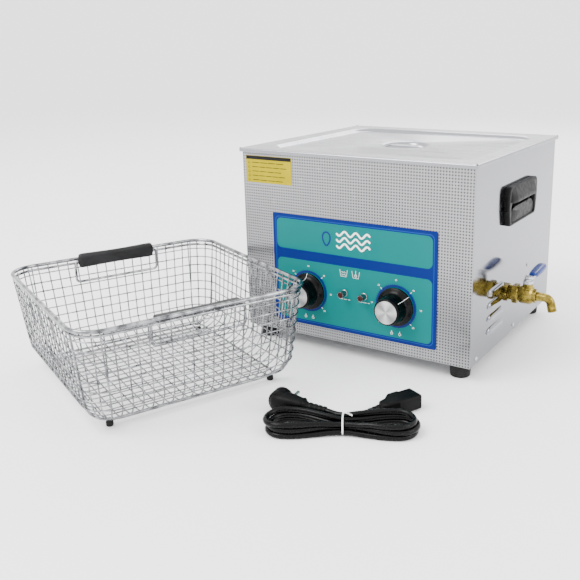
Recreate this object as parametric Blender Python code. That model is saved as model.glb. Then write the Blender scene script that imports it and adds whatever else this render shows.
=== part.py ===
"""Bench-top ultrasonic cleaner with its lid, wire basket and mains lead.

Metres, +Z up.  The cleaner's front faces -Y and its drain valve is on +X.
The floor is z = 0, and x = y = 0 is the middle of the footprint of everything but the lead.
"""
import math

import bmesh
import bpy
from mathutils import Matrix, Vector

for old in list(bpy.data.objects):
    bpy.data.objects.remove(old, do_unlink=True)

# ---- driving dimensions -------------------------------------------------------------------
GAP = 0.0003            # clearance between pieces that touch
SHEET = 0.0010          # case and tank sheet
CASE_W, CASE_D = 0.350, 0.325
FOOT_H, FOOT_R, FOOT_INSET = 0.020, 0.0140, 0.0215

TANK_W, TANK_D, TANK_DEPTH = 0.330, 0.300, 0.150      # inside
TANK_CORNER, TANK_FILLET = 0.026, 0.010
TANK_ROOM = 0.107       # under the tank, for its transducers and drain pipe
CASE_H = TANK_DEPTH + TANK_ROOM
FLANGE_OVER = 0.0015    # flange past the case sides

LID_SHEET = 0.0008
LID_OVER, LID_LIP = 0.0042, 0.0050     # lip outside the case, and its height
LID_INSET, LID_SINK = 0.0162, 0.0052   # sunk middle in from the tank wall, and its depth
LID_CORNER = 0.030
DISH_R, DISH_DEPTH = 0.0350, 0.0090
PULL_W, PULL_T = 0.0120, 0.0016

PANEL_W, PANEL_H, PANEL_T = 0.2535, 0.158, 0.0008
PANEL_LEFT, PANEL_UP = 0.0495, 0.0165
LABEL_W, LABEL_H, LABEL_T = 0.077, 0.038, 0.0003
LABEL_LEFT, LABEL_UP = 0.006, 0.2145

KNOB_UP, KNOB_SPREAD = 0.0670, 0.0685  # above the case bottom, and from the overlay's middle
KNOB_SKIRT_R, KNOB_BODY_R, KNOB_CAP_R, KNOB_DEPTH = 0.0262, 0.0178, 0.0157, 0.0290
SHAFT_R, SHAFT_FIT = 0.0028, 0.0003
SWITCH_W, SWITCH_H, SWITCH_D = 0.044, 0.048, 0.034

LAMP_UP, LAMP_LEFT, LAMP_PITCH = 0.0733, 0.1665, 0.0307
LAMP_R, LAMP_PROUD, LAMP_LENS_R = 0.0048, 0.0120, 0.0037

HANDLE_W, HANDLE_FOOT_W, HANDLE_H, HANDLE_UP = 0.118, 0.108, 0.053, 0.1640
HANDLE_PLATE, HANDLE_GRIP, POCKET_DEPTH = 0.0075, 0.0130, 0.0080

LOUVRE_COUNT, LOUVRE_PITCH, LOUVRE_UP = 4, 0.0178, 0.0285
LOUVRE_FROM, LOUVRE_LEN, LOUVRE_SLOT = 0.060, 0.050, 0.0030

VALVE_BACK, VALVE_UP = 0.119, 0.0705   # from the front face, above the case bottom
PIPE_R, PIPE_WALL, PIPE_BEND = 0.0080, 0.0016, 0.018
NIPPLE_LEN, NIPPLE_R = 0.0120, 0.0125
BODY_LEN, BODY_R, BORE_R, BALL_R = 0.0330, 0.0122, 0.0060, 0.0090
BALL_SHARE = 0.62           # how far along the valve body its ball sits
STEM_R, STEM_TOP, BOSS_R, BOSS_TOP = 0.0028, 0.0265, 0.0068, 0.0160
LEVER_LEN, LEVER_W, LEVER_T, LEVER_RISE = 0.060, 0.0100, 0.0022, 0.0035
GRIP_LEN, GRIP_W, GRIP_T = 0.050, 0.0140, 0.0092
SPOUT_R, SPOUT_RUN, SPOUT_BEND, SPOUT_DROP = 0.0062, 0.0100, 0.0095, 0.0110
SPOUT_TILT = math.radians(76)

TRANSDUCER_R, TRANSDUCER_H = 0.0225, 0.0540
TRANSDUCER_DX, TRANSDUCER_DY = 0.100, 0.080
HEATER_W, HEATER_H, HEATER_T = 0.220, 0.060, 0.0030
BOARD_L, BOARD_H, BOARD_T = 0.120, 0.085, 0.0016
FAN_SIZE, FAN_DEPTH, FAN_BORE_R, FAN_HUB_R = 0.080, 0.025, 0.0370, 0.0160
FAN_FROM_LEFT, FAN_UP, FAN_BLADES = 0.090, 0.056, 7
INLET_W, INLET_H, INLET_DEPTH, INLET_FROM_RIGHT, INLET_UP = 0.048, 0.030, 0.022, 0.070, 0.045

BASKET_RIM_HALF = (0.1455, 0.1530)     # centre line of the rim wire
BASKET_LOW_HALF = (0.1355, 0.1430)     # where the walls meet the bottom's rounding
BASKET_CORNER, BASKET_ROUND, BASKET_H, BASKET_CLEAR = 0.034, 0.034, 0.132, 0.010
BASKET_SHELL, RIM_R = 0.0025, 0.0026
BASKET_FEET_HALF, BASKET_FOOT_R = (0.106, 0.110), 0.0048
BASKET_AHEAD, BASKET_LEFT = 0.1678, 0.0233   # its middle, from the case's front left edge
BASKET_TURN = math.radians(66)
LOOP_HALF, LOOP_DROP, LOOP_R, LOOP_IN = 0.0590, 0.0300, 0.0017, 0.0130
GRIP_SLEEVE_HALF = 0.0560
FRONT_SLEEVE = (0.0085, 0.0038)        # half sizes: the front sleeve lies flat
BACK_SLEEVE = (0.0048, 0.0098)         # the back one stands on edge
FRONT_BAIL_LOW = 0.0050                # how far the front bail hangs under the rim

HANK_HALF_LEN, HANK_LOBE_R, HANK_WAIST, HANK_H = 0.0880, 0.0232, 0.0158, 0.0205
HANK_TURN = math.radians(27.6)
HANK_RIGHT, HANK_AHEAD = 0.2735, 0.1875      # its middle, from the case's front left edge
TIE_W, TIE_T = 0.0040, 0.0010
PLUG_TIP, PLUG_END = (-0.0200, 0.0222), (-0.0770, 0.0440)    # along and across the hank
PLUG_FACE_R, PLUG_BODY_R, PLUG_HEAD_T, RELIEF_R = 0.0138, 0.0118, 0.0125, 0.0047
PIN_PITCH, PIN_R, PIN_LEN = 0.0190, 0.0024, 0.0190
CONNECTOR_TIP, CONNECTOR_END = (0.0250, 0.0226), (0.0840, 0.0668)
CONNECTOR_W, CONNECTOR_H, CONNECTOR_LEN = 0.0270, 0.0200, 0.0330

# ---- places worked out from the sizes ------------------------------------------------------
RUN_OUT = (GAP + NIPPLE_LEN + GAP + BODY_LEN + GAP + SPOUT_RUN
           + (SPOUT_BEND + SPOUT_R) * math.sin(SPOUT_TILT) + SPOUT_DROP * math.cos(SPOUT_TILT))


def rounded_reach(half_a, half_b, corner, turn):
    """How far a turned, rounded rectangle reaches along X and along Y from its middle."""
    flat_a, flat_b = half_a - corner, half_b - corner
    c, s = abs(math.cos(turn)), abs(math.sin(turn))
    return flat_a * c + flat_b * s + corner, flat_a * s + flat_b * c + corner


BASKET_REACH = rounded_reach(BASKET_RIM_HALF[0] + RIM_R, BASKET_RIM_HALF[1] + RIM_R,
                             BASKET_CORNER + RIM_R, BASKET_TURN)
LEFT = -(CASE_W + RUN_OUT - BASKET_LEFT - BASKET_REACH[0]) / 2.0
FRONT = -(CASE_D + LID_OVER - BASKET_AHEAD - BASKET_REACH[1]) / 2.0
RIGHT, BACK = LEFT + CASE_W, FRONT + CASE_D
MID_X, MID_Y = LEFT + CASE_W / 2.0, FRONT + CASE_D / 2.0
BASE, TOP = FOOT_H, FOOT_H + CASE_H
PANEL_MID = LEFT + PANEL_LEFT + PANEL_W / 2.0
KNOB_Z = BASE + KNOB_UP
VALVE_Y, VALVE_Z = FRONT + VALVE_BACK, BASE + VALVE_UP
FLANGE_TOP = TOP + GAP + SHEET
TANK_FLOOR = FLANGE_TOP - TANK_DEPTH
LID_BOTTOM = TOP + GAP
LID_TOP = LID_BOTTOM + LID_LIP
BASKET_X, BASKET_Y = LEFT - BASKET_LEFT, FRONT - BASKET_AHEAD
HANK_X, HANK_Y = LEFT + HANK_RIGHT, FRONT - HANK_AHEAD
CLEARANCE_HOLE = 0.0055


# ---- materials -----------------------------------------------------------------------------
def make_material(name, colour, metallic, roughness, alpha=1.0):
    mat = bpy.data.materials.new(name)
    mat.use_nodes = True
    bsdf = mat.node_tree.nodes["Principled BSDF"]
    bsdf.inputs["Base Color"].default_value = (*colour, 1.0)
    bsdf.inputs["Metallic"].default_value = metallic
    bsdf.inputs["Roughness"].default_value = roughness
    bsdf.inputs["Alpha"].default_value = alpha
    return mat


EMBOSSED = make_material("embossed_stainless", (0.55, 0.54, 0.53), 1.0, 0.35)
STEEL = make_material("stainless", (0.62, 0.61, 0.60), 1.0, 0.22)
WIRE = make_material("polished_wire", (0.66, 0.66, 0.66), 1.0, 0.15)
OVERLAY = make_material("overlay_teal", (0.02, 0.46, 0.43), 0.0, 0.35)
STICKER = make_material("sticker_yellow", (0.90, 0.75, 0.02), 0.0, 0.45)
BLACK = make_material("black_plastic", (0.012, 0.012, 0.013), 0.0, 0.40)
RUBBER = make_material("black_rubber", (0.010, 0.010, 0.010), 0.0, 0.75)
ALUMINIUM = make_material("aluminium", (0.80, 0.80, 0.80), 1.0, 0.30)
CHROME = make_material("chrome", (0.75, 0.75, 0.75), 1.0, 0.08)
RED_LENS = make_material("red_lens", (0.25, 0.01, 0.01), 0.0, 0.15)
BRASS = make_material("brass", (0.62, 0.42, 0.12), 1.0, 0.28)
BLUE_VINYL = make_material("blue_vinyl", (0.01, 0.08, 0.45), 0.0, 0.40)
BOARD_GREEN = make_material("board_green", (0.01, 0.14, 0.05), 0.0, 0.45)
HEATER_RUST = make_material("silicone_heater", (0.40, 0.07, 0.02), 0.0, 0.60)
TIE_WHITE = make_material("tie_white", (0.85, 0.85, 0.85), 0.0, 0.50)


# ---- shape builders ------------------------------------------------------------------------
def to_object(name, bm, material, location=(0, 0, 0), rotation=(0, 0, 0), smooth=True):
    """Turn a bmesh, drawn about its own origin, into a placed object."""
    bmesh.ops.recalc_face_normals(bm, faces=bm.faces)
    mesh = bpy.data.meshes.new(name)
    bm.to_mesh(mesh)
    bm.free()
    mesh.materials.append(material)
    if smooth:
        mesh.shade_smooth()
        mesh.set_sharp_from_angle(angle=math.radians(35))
    obj = bpy.data.objects.new(name, mesh)
    obj.location = location
    obj.rotation_euler = rotation
    bpy.context.scene.collection.objects.link(obj)
    return obj


def block(name, low, high, material):
    """A plain box between two corners, with its origin at its middle."""
    low, high = Vector(low), Vector(high)
    bm = bmesh.new()
    bmesh.ops.create_cube(bm, size=1.0, matrix=Matrix.Diagonal((*(high - low), 1.0)))
    return to_object(name, bm, material, (low + high) / 2.0, smooth=False)


def loft(name, rings, material, location=(0, 0, 0), rotation=(0, 0, 0), closed=False):
    """Bridge a list of point rings.  The ends are capped, or joined when closed is set."""
    bm = bmesh.new()
    rows = [[bm.verts.new(p) for p in ring] for ring in rings]
    count = len(rows[0])
    pairs = list(zip(rows, rows[1:]))
    if closed:
        pairs.append((rows[-1], rows[0]))
    for low, high in pairs:
        for i in range(count):
            j = (i + 1) % count
            bm.faces.new((low[i], low[j], high[j], high[i]))
    if not closed:
        bm.faces.new(list(reversed(rows[0])))
        bm.faces.new(rows[-1])
    return to_object(name, bm, material, location, rotation)


def turned(name, profile, material, location=(0, 0, 0), rotation=(0, 0, 0), sides=24):
    """Turn a closed (radius, height) outline about Z.  An outline that starts and ends on the
    axis gives a solid body, any other outline gives a ring."""
    bm = bmesh.new()
    on_axis = profile[0][0] == 0.0
    body = profile[1:-1] if on_axis else profile
    rows = []
    for r, h in body:
        angles = [2.0 * math.pi * i / sides for i in range(sides)]
        rows.append([bm.verts.new((r * math.cos(a), r * math.sin(a), h)) for a in angles])
    pairs = list(zip(rows, rows[1:]))
    if not on_axis:
        pairs.append((rows[-1], rows[0]))
    for low, high in pairs:
        for i in range(sides):
            j = (i + 1) % sides
            bm.faces.new((low[i], low[j], high[j], high[i]))
    if on_axis:
        for row, (_, h) in ((rows[0], profile[0]), (rows[-1], profile[-1])):
            tip = bm.verts.new((0.0, 0.0, h))
            for i in range(sides):
                bm.faces.new((row[i], row[(i + 1) % sides], tip))
    return to_object(name, bm, material, location, rotation)


def rounded_ring(half_a, half_b, corner, z, steps=4):
    """Points round a rounded rectangle at height z, counter-clockwise."""
    points = []
    for sx, sy, start in ((1, 1, 0.0), (-1, 1, 0.5), (-1, -1, 1.0), (1, -1, 1.5)):
        for k in range(steps + 1):
            a = math.pi * (start + 0.5 * k / steps)
            points.append((sx * (half_a - corner) + corner * math.cos(a),
                           sy * (half_b - corner) + corner * math.sin(a), z))
    return points


def prism(name, outline, along, low, high, material, location=(0, 0, 0)):
    """Extrude a closed 2-D outline along an axis.  Along X it is (y, z), along Y (x, z)."""
    place = {"X": lambda u, v, w: (w, u, v), "Y": lambda u, v, w: (u, w, v),
             "Z": lambda u, v, w: (u, v, w)}[along]
    bm = bmesh.new()
    face = bm.faces.new([bm.verts.new(place(u, v, low)) for u, v in outline])
    moved = bmesh.ops.extrude_face_region(bm, geom=[face])["geom"]
    shift = Vector(place(0.0, 0.0, high - low))
    bmesh.ops.translate(bm, vec=shift, verts=[v for v in moved if isinstance(v, bmesh.types.BMVert)])
    return to_object(name, bm, material, location, smooth=False)


def path_frames(points):
    """The two directions across a path at each of its points, carried without twist."""
    points = [Vector(p) for p in points]
    frames, across = [], None
    for i, p in enumerate(points):
        ahead = (points[min(i + 1, len(points) - 1)] - points[max(i - 1, 0)]).normalized()
        if across is None:
            across = ahead.orthogonal().normalized()
        across = (across - ahead * across.dot(ahead)).normalized()
        frames.append((p, across, ahead.cross(across)))
    return frames


def pipe(name, points, radius, inner, material, sides=14):
    """A hollow pipe along a path."""
    rings = []
    frames = path_frames(points)
    for r, order in ((radius, frames), (inner, list(reversed(frames)))):
        for p, u, v in order:
            angles = [2.0 * math.pi * i / sides for i in range(sides)]
            rings.append([p + (u * math.cos(a) + v * math.sin(a)) * r for a in angles])
    return loft(name, rings, material, closed=True)


def wire(name, points, radius, material, location=(0, 0, 0), rotation=(0, 0, 0), cyclic=False):
    """A round wire along a path, as a bevelled curve."""
    curve = bpy.data.curves.new(name, "CURVE")
    curve.dimensions = "3D"
    curve.bevel_depth = radius
    curve.bevel_resolution = 2
    curve.use_fill_caps = not cyclic
    spline = curve.splines.new("POLY")
    spline.points.add(len(points) - 1)
    for point, place in zip(spline.points, points):
        point.co = (*place, 1.0)
    spline.use_cyclic_u = cyclic
    curve.materials.append(material)
    obj = bpy.data.objects.new(name, curve)
    obj.location = location
    obj.rotation_euler = rotation
    bpy.context.scene.collection.objects.link(obj)
    return obj


def combine(target, other, operation):
    """Cut another solid out of the target, or weld it on."""
    modifier = target.modifiers.new(operation.lower(), "BOOLEAN")
    modifier.operation = operation
    modifier.solver = "EXACT"
    modifier.object = other
    other.hide_render = True
    other.display_type = "WIRE"


def cut(target, other):
    combine(target, other, "DIFFERENCE")


def weld(target, other):
    combine(target, other, "UNION")


def round_cutter(centre, axis, radius, depth, sides=16):
    """A plain round cutter through a point, along X, Y or Z."""
    turn = {"X": (0, math.pi / 2, 0), "Y": (math.pi / 2, 0, 0), "Z": (0, 0, 0)}[axis]
    bm = bmesh.new()
    bmesh.ops.create_cone(bm, cap_ends=True, segments=sides, radius1=radius, radius2=radius,
                          depth=depth)
    return to_object("cutter", bm, BLACK, centre, turn)


def box_cutter(low, high):
    return block("cutter", low, high, BLACK)


def hexagon(across_flats):
    """A hexagon's points, flat side down."""
    r = across_flats / math.sqrt(3.0)
    return [(r * math.cos(math.pi * k / 3), r * math.sin(math.pi * k / 3)) for k in range(6)]


FACE_FRONT = (math.pi / 2, 0, 0)       # turns local +Z to -Y
FACE_BACK = (-math.pi / 2, 0, 0)       # turns local +Z to +Y
FACE_RIGHT = (0, math.pi / 2, 0)       # turns local +Z to +X


# ---- case ----------------------------------------------------------------------------------
def knob_places():
    """The knobs' names and X places: thermostat on the left, timer on the right."""
    return (("thermostat", PANEL_MID - KNOB_SPREAD), ("timer", PANEL_MID + KNOB_SPREAD))


def lamp_places():
    return (("heating_lamp", LEFT + LAMP_LEFT), ("working_lamp", LEFT + LAMP_LEFT + LAMP_PITCH))


def drill_front(target):
    """Holes for the two shafts and the two lamps."""
    for _, x in knob_places():
        cut(target, round_cutter((x, FRONT, KNOB_Z), "Y", CLEARANCE_HOLE, 0.02))
    for _, x in lamp_places():
        cut(target, round_cutter((x, FRONT, BASE + LAMP_UP), "Y", LAMP_R + GAP, 0.02))


def make_case():
    front = block("front_panel", (LEFT, FRONT, BASE), (RIGHT, FRONT + SHEET, TOP), EMBOSSED)
    drill_front(front)
    side_y = (FRONT + SHEET + GAP, BACK - SHEET - GAP)
    right = block("right_side_panel", (RIGHT - SHEET, side_y[0], BASE), (RIGHT, side_y[1], TOP), STEEL)
    left = block("left_side_panel", (LEFT, side_y[0], BASE), (LEFT + SHEET, side_y[1], TOP), STEEL)
    cut(right, round_cutter((RIGHT, VALVE_Y, VALVE_Z), "X", PIPE_R + 2 * GAP, 0.02))
    for k in range(LOUVRE_COUNT):
        z = BASE + LOUVRE_UP + k * LOUVRE_PITCH
        start = FRONT + LOUVRE_FROM
        for x in (LEFT, RIGHT):
            slot = box_cutter((x - 0.005, start, z - LOUVRE_SLOT / 2),
                              (x + 0.005, start + LOUVRE_LEN, z + LOUVRE_SLOT / 2))
            cut(right if x == RIGHT else left, slot)
    pocket = pocket_half()
    mouth_z = BASE + HANDLE_UP + HANDLE_H * 0.42
    for panel, x in ((right, RIGHT), (left, LEFT)):
        cut(panel, box_cutter((x - 0.005, MID_Y - pocket[0] - GAP, mouth_z - pocket[1] - GAP),
                              (x + 0.005, MID_Y + pocket[0] + GAP, mouth_z + pocket[1] + GAP)))
    back = block("back_panel", (LEFT, BACK - SHEET, BASE), (RIGHT, BACK, TOP), STEEL)
    fan_x, fan_z = LEFT + FAN_FROM_LEFT, BASE + FAN_UP
    for k in range(-3, 4):
        reach = math.sqrt(FAN_BORE_R ** 2 - (k * 0.010) ** 2) - 0.002
        cut(back, box_cutter((fan_x + k * 0.010 - 0.003, BACK - 0.005, fan_z - reach),
                             (fan_x + k * 0.010 + 0.003, BACK + 0.005, fan_z + reach)))
    x, z = inlet_place()
    cut(back, box_cutter((x - INLET_W * 0.36, BACK - 0.005, z - INLET_H * 0.42),
                         (x + INLET_W * 0.36, BACK + 0.005, z + INLET_H * 0.42)))
    inner = SHEET + GAP
    block("base_plate", (LEFT + inner, FRONT + inner, BASE),
          (RIGHT - inner, BACK - inner, BASE + SHEET), STEEL)
    places = [(x, y) for x in (LEFT + FOOT_INSET, RIGHT - FOOT_INSET)
              for y in (FRONT + FOOT_INSET, BACK - FOOT_INSET)]
    for number, (x, y) in enumerate(places, 1):
        top = FOOT_H - GAP
        turned(f"foot_{number}", [(0, 0), (FOOT_R * 0.88, 0), (FOOT_R * 0.96, 0.0015),
                                  (FOOT_R, top), (0, top)], RUBBER, (x, y, 0), sides=20)


# ---- tank and what is bonded to it ----------------------------------------------------------
def make_tank():
    a, b, r = TANK_W / 2, TANK_D / 2, TANK_CORNER
    f, s = TANK_FILLET, SHEET
    under, top = FLANGE_TOP - SHEET, FLANGE_TOP
    wide = (CASE_W / 2 + FLANGE_OVER, CASE_D / 2 + FLANGE_OVER, 0.004)
    rings = [rounded_ring(a - f, b - f, r - f, TANK_FLOOR - s),
             rounded_ring(a + s - f * 0.3, b + s - f * 0.3, r, TANK_FLOOR - s + f * 0.3),
             rounded_ring(a + s, b + s, r + s, TANK_FLOOR + f),
             rounded_ring(a + s, b + s, r + s, under),
             rounded_ring(*wide, under),
             rounded_ring(*wide, top),
             rounded_ring(a, b, r, top),
             rounded_ring(a, b, r, TANK_FLOOR + f),
             rounded_ring(a - f * 0.3, b - f * 0.3, r - f * 0.1, TANK_FLOOR + f * 0.3),
             rounded_ring(a - f, b - f, r - f, TANK_FLOOR)]
    tank = loft("tank", rings, STEEL, (MID_X, MID_Y, 0))
    cut(tank, round_cutter((drain_x(), VALVE_Y, TANK_FLOOR), "Z", PIPE_R - PIPE_WALL, 0.02))


def make_transducers():
    """Sandwich transducers: aluminium horn, two ceramic discs, steel back mass, one bolt."""
    top = TANK_FLOOR - SHEET - GAP
    r, h = TRANSDUCER_R, TRANSDUCER_H
    profile = [(0, 0), (r, 0), (r, -h * 0.12), (r * 0.84, -h * 0.46), (r * 0.84, -h * 0.50),
               (r * 0.90, -h * 0.51), (r * 0.90, -h * 0.70), (r * 0.80, -h * 0.71),
               (r * 0.80, -h * 0.92), (r * 0.25, -h * 0.92), (r * 0.25, -h), (0, -h)]
    places = [(dx, dy) for dy in (-TRANSDUCER_DY, TRANSDUCER_DY)
              for dx in (-TRANSDUCER_DX, 0.0, TRANSDUCER_DX)]
    for number, (dx, dy) in enumerate(places, 1):
        turned(f"transducer_{number}", profile, ALUMINIUM, (MID_X + dx, MID_Y + dy, top), sides=16)
    back = MID_Y + TANK_D / 2 + SHEET + GAP
    low = TANK_FLOOR + 0.030
    block("heater_pad", (MID_X - HEATER_W / 2, back, low),
          (MID_X + HEATER_W / 2, back + HEATER_T, low + HEATER_H), HEATER_RUST)


# ---- lid -----------------------------------------------------------------------------------
def make_lid():
    """One drawn sheet: a lip over the case, a flat band, a sunk middle and a round dish."""
    t = LID_SHEET
    out = (CASE_W / 2 + LID_OVER, CASE_D / 2 + LID_OVER)
    step = (TANK_W / 2 - LID_INSET, TANK_D / 2 - LID_INSET)
    low = LID_TOP - LID_SINK
    floor = low - DISH_DEPTH

    def skin(d):
        """The rings of the face that lies d under the outer face, from the dish to the lip."""
        lip = 0.0010
        out_by = d * 0.6
        rounds = [rounded_ring(r, r, r, z) for r, z in
                  [(DISH_R - 0.008, floor - d), (DISH_R - 0.003 + out_by, floor + 0.002 - d * 0.8),
                   (DISH_R + d, low - 0.001 - out_by), (DISH_R + 0.002 + out_by, low - d)]]
        return rounds + [
                rounded_ring(step[0] - 0.003, step[1] - 0.003, LID_CORNER, low - d),
                rounded_ring(step[0] + out_by, step[1] + out_by, LID_CORNER, low + 0.0012 - d * 0.8),
                rounded_ring(step[0] + 0.0020 + out_by, step[1] + 0.0020 + out_by, LID_CORNER,
                             LID_TOP - 0.0016 - out_by),
                rounded_ring(step[0] + 0.0050, step[1] + 0.0050, LID_CORNER, LID_TOP - d),
                rounded_ring(out[0] - lip - 0.0012, out[1] - lip - 0.0012, 0.003, LID_TOP - d),
                rounded_ring(out[0] - lip * 0.3 - d, out[1] - lip * 0.3 - d, 0.003,
                             LID_TOP - lip * 0.3 - d * 0.8),
                rounded_ring(out[0] - d, out[1] - d, 0.003, LID_TOP - lip - d * 0.3),
                rounded_ring(out[0] - d, out[1] - d, 0.003, LID_BOTTOM)]

    rings = skin(0.0) + list(reversed(skin(t)))
    loft("lid", rings, STEEL, (MID_X, MID_Y, 0))
    reach = DISH_R - 0.0050
    rise = low - 0.0004
    mouth = floor + 0.0045
    outline = [(-reach, mouth), (-reach + 0.007, rise), (reach - 0.007, rise), (reach, mouth),
               (reach - 0.0015, mouth), (reach - 0.0077, rise - PULL_T),
               (-reach + 0.0077, rise - PULL_T), (-reach + 0.0015, mouth)]
    prism("lid_pull", outline, "Y", -PULL_W / 2, PULL_W / 2, STEEL, (MID_X, MID_Y, 0))


# ---- front controls ------------------------------------------------------------------------
def make_overlay():
    face = FRONT - GAP
    x, z = LEFT + PANEL_LEFT, BASE + PANEL_UP
    panel = block("control_panel", (x, face - PANEL_T, z), (x + PANEL_W, face, z + PANEL_H), OVERLAY)
    drill_front(panel)
    x, z = LEFT + LABEL_LEFT, BASE + LABEL_UP
    block("warning_label", (x, face - LABEL_T, z), (x + LABEL_W, face, z + LABEL_H), STICKER)


def make_knobs():
    """Each knob turns with its cap and its shaft in a switch fixed behind the front sheet."""
    face = FRONT - GAP - PANEL_T - GAP
    bore, depth = SHAFT_R + SHAFT_FIT, KNOB_DEPTH
    body = [(0, 0.0130), (bore, 0.0130), (bore, 0.0004), (KNOB_SKIRT_R - 0.0006, 0.0004),
            (KNOB_SKIRT_R, 0.0010), (KNOB_SKIRT_R, 0.0026), (KNOB_SKIRT_R - 0.0010, 0.0036),
            (KNOB_BODY_R + 0.0025, 0.0062), (KNOB_BODY_R + 0.0008, 0.0090),
            (KNOB_BODY_R, depth - 0.0012), (KNOB_BODY_R - 0.0004, depth - 0.0008),
            (KNOB_CAP_R + GAP, depth - 0.0008), (KNOB_CAP_R + GAP, depth - 0.0018),
            (0, depth - 0.0018)]
    cap_back = depth - 0.0018 + GAP
    cap = [(0, cap_back), (KNOB_CAP_R, cap_back), (KNOB_CAP_R, depth - 0.0005),
           (KNOB_CAP_R - 0.0006, depth), (0, depth)]
    for name, x in knob_places():
        place = (x, face, KNOB_Z)
        turned(f"{name}_knob", body, BLACK, place, FACE_FRONT, sides=24)
        turned(f"{name}_knob_cap", cap, ALUMINIUM, place, FACE_FRONT, sides=24)
        behind = FRONT + SHEET + GAP - face
        turned(f"{name}_shaft", [(0, 0.0130 - GAP), (SHAFT_R, 0.0130 - GAP),
                                 (SHAFT_R, -behind - 0.006), (0, -behind - 0.006)],
               STEEL, place, FACE_FRONT, sides=12)
        y = FRONT + SHEET + GAP
        switch = block("timer_switch" if name == "timer" else "thermostat",
                       (x - SWITCH_W / 2, y, KNOB_Z - SWITCH_H / 2),
                       (x + SWITCH_W / 2, y + SWITCH_D, KNOB_Z + SWITCH_H / 2), BLACK)
        cut(switch, round_cutter((x, y, KNOB_Z), "Y", bore, 2 * (0.006 + GAP), 12))


def make_lamps():
    """Pilot lamps: a chromed tube through the front sheet, with a red lens in its mouth."""
    tail, seat = -0.012, LAMP_PROUD - 0.004
    for name, x in lamp_places():
        place = (x, FRONT - GAP - PANEL_T, BASE + LAMP_UP)
        bore = LAMP_LENS_R + GAP
        turned(f"{name}_bezel", [(bore, LAMP_PROUD), (bore, seat), (bore - 0.001, seat),
                                 (bore - 0.001, tail), (LAMP_R, tail), (LAMP_R, LAMP_PROUD - 0.0004),
                                 (LAMP_R - 0.0004, LAMP_PROUD)],
               CHROME, place, FACE_FRONT, sides=16)
        turned(f"{name}_lens", [(0, seat + GAP), (LAMP_LENS_R, seat + GAP), (LAMP_LENS_R, LAMP_PROUD),
                                (LAMP_LENS_R * 0.6, LAMP_PROUD + 0.0008), (0, LAMP_PROUD + 0.0010)],
               RED_LENS, place, FACE_FRONT, sides=16)


# ---- side handles --------------------------------------------------------------------------
def pocket_half():
    """Half sizes, along Y and Z, of the handle's pocket outside."""
    return HANDLE_FOOT_W / 2 - 0.006, HANDLE_H * 0.30


def make_handles():
    """Moulded lifting handles: a plate with an overhanging grip above an arched finger pocket."""
    z0 = BASE + HANDLE_UP
    w, f, h = HANDLE_W / 2, HANDLE_FOOT_W / 2, HANDLE_H
    outline = [(-f, 0), (f, 0), (w, h * 0.42), (w, h * 0.78), (w - 0.009, h), (-w + 0.009, h),
               (-w, h * 0.78), (-w, h * 0.42)]
    pocket = pocket_half()
    middle = h * 0.42
    for name, face, side in (("handle_right", RIGHT, 1), ("handle_left", LEFT, -1)):
        inside, proud, grip = side * GAP, side * HANDLE_PLATE, side * HANDLE_GRIP
        place = (face, MID_Y, z0)
        handle = prism(name, outline, "X", min(inside, proud), max(inside, proud), BLACK, place)
        section = [(proud - side * 0.002, h * 0.52), (grip - side * 0.002, h * 0.50),
                   (grip, h * 0.56), (grip - side * 0.0010, h * 0.74), (proud, h * 0.96),
                   (proud - side * 0.002, h * 0.96)]
        bar = prism("grip_bar", section, "Y", -w + 0.008, w - 0.008, BLACK, place)
        weld(handle, bar)
        deep = -side * POCKET_DEPTH
        rear, fore = sorted((deep, proud - side * 0.002))
        cup = block("cup", (face + rear, MID_Y - pocket[0], z0 + middle - pocket[1]),
                    (face + fore, MID_Y + pocket[0], z0 + middle + pocket[1]), BLACK)
        weld(handle, cup)
        wall = 0.0020
        reach, sill = pocket[0] - wall, middle - pocket[1] + wall
        crown = middle + pocket[1] - wall
        arch = [(-reach, sill), (reach, sill), (reach, crown - 0.010), (reach - 0.012, crown),
                (-reach + 0.012, crown), (-reach, crown - 0.010)]
        far = deep + side * wall
        mouth = prism("mouth", arch, "X", min(far, side * 0.020), max(far, side * 0.020), BLACK, place)
        cut(handle, mouth)


# ---- drain valve ---------------------------------------------------------------------------
def drain_x():
    """The tank's outlet stands between two transducers."""
    return MID_X + TRANSDUCER_DX / 2


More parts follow.
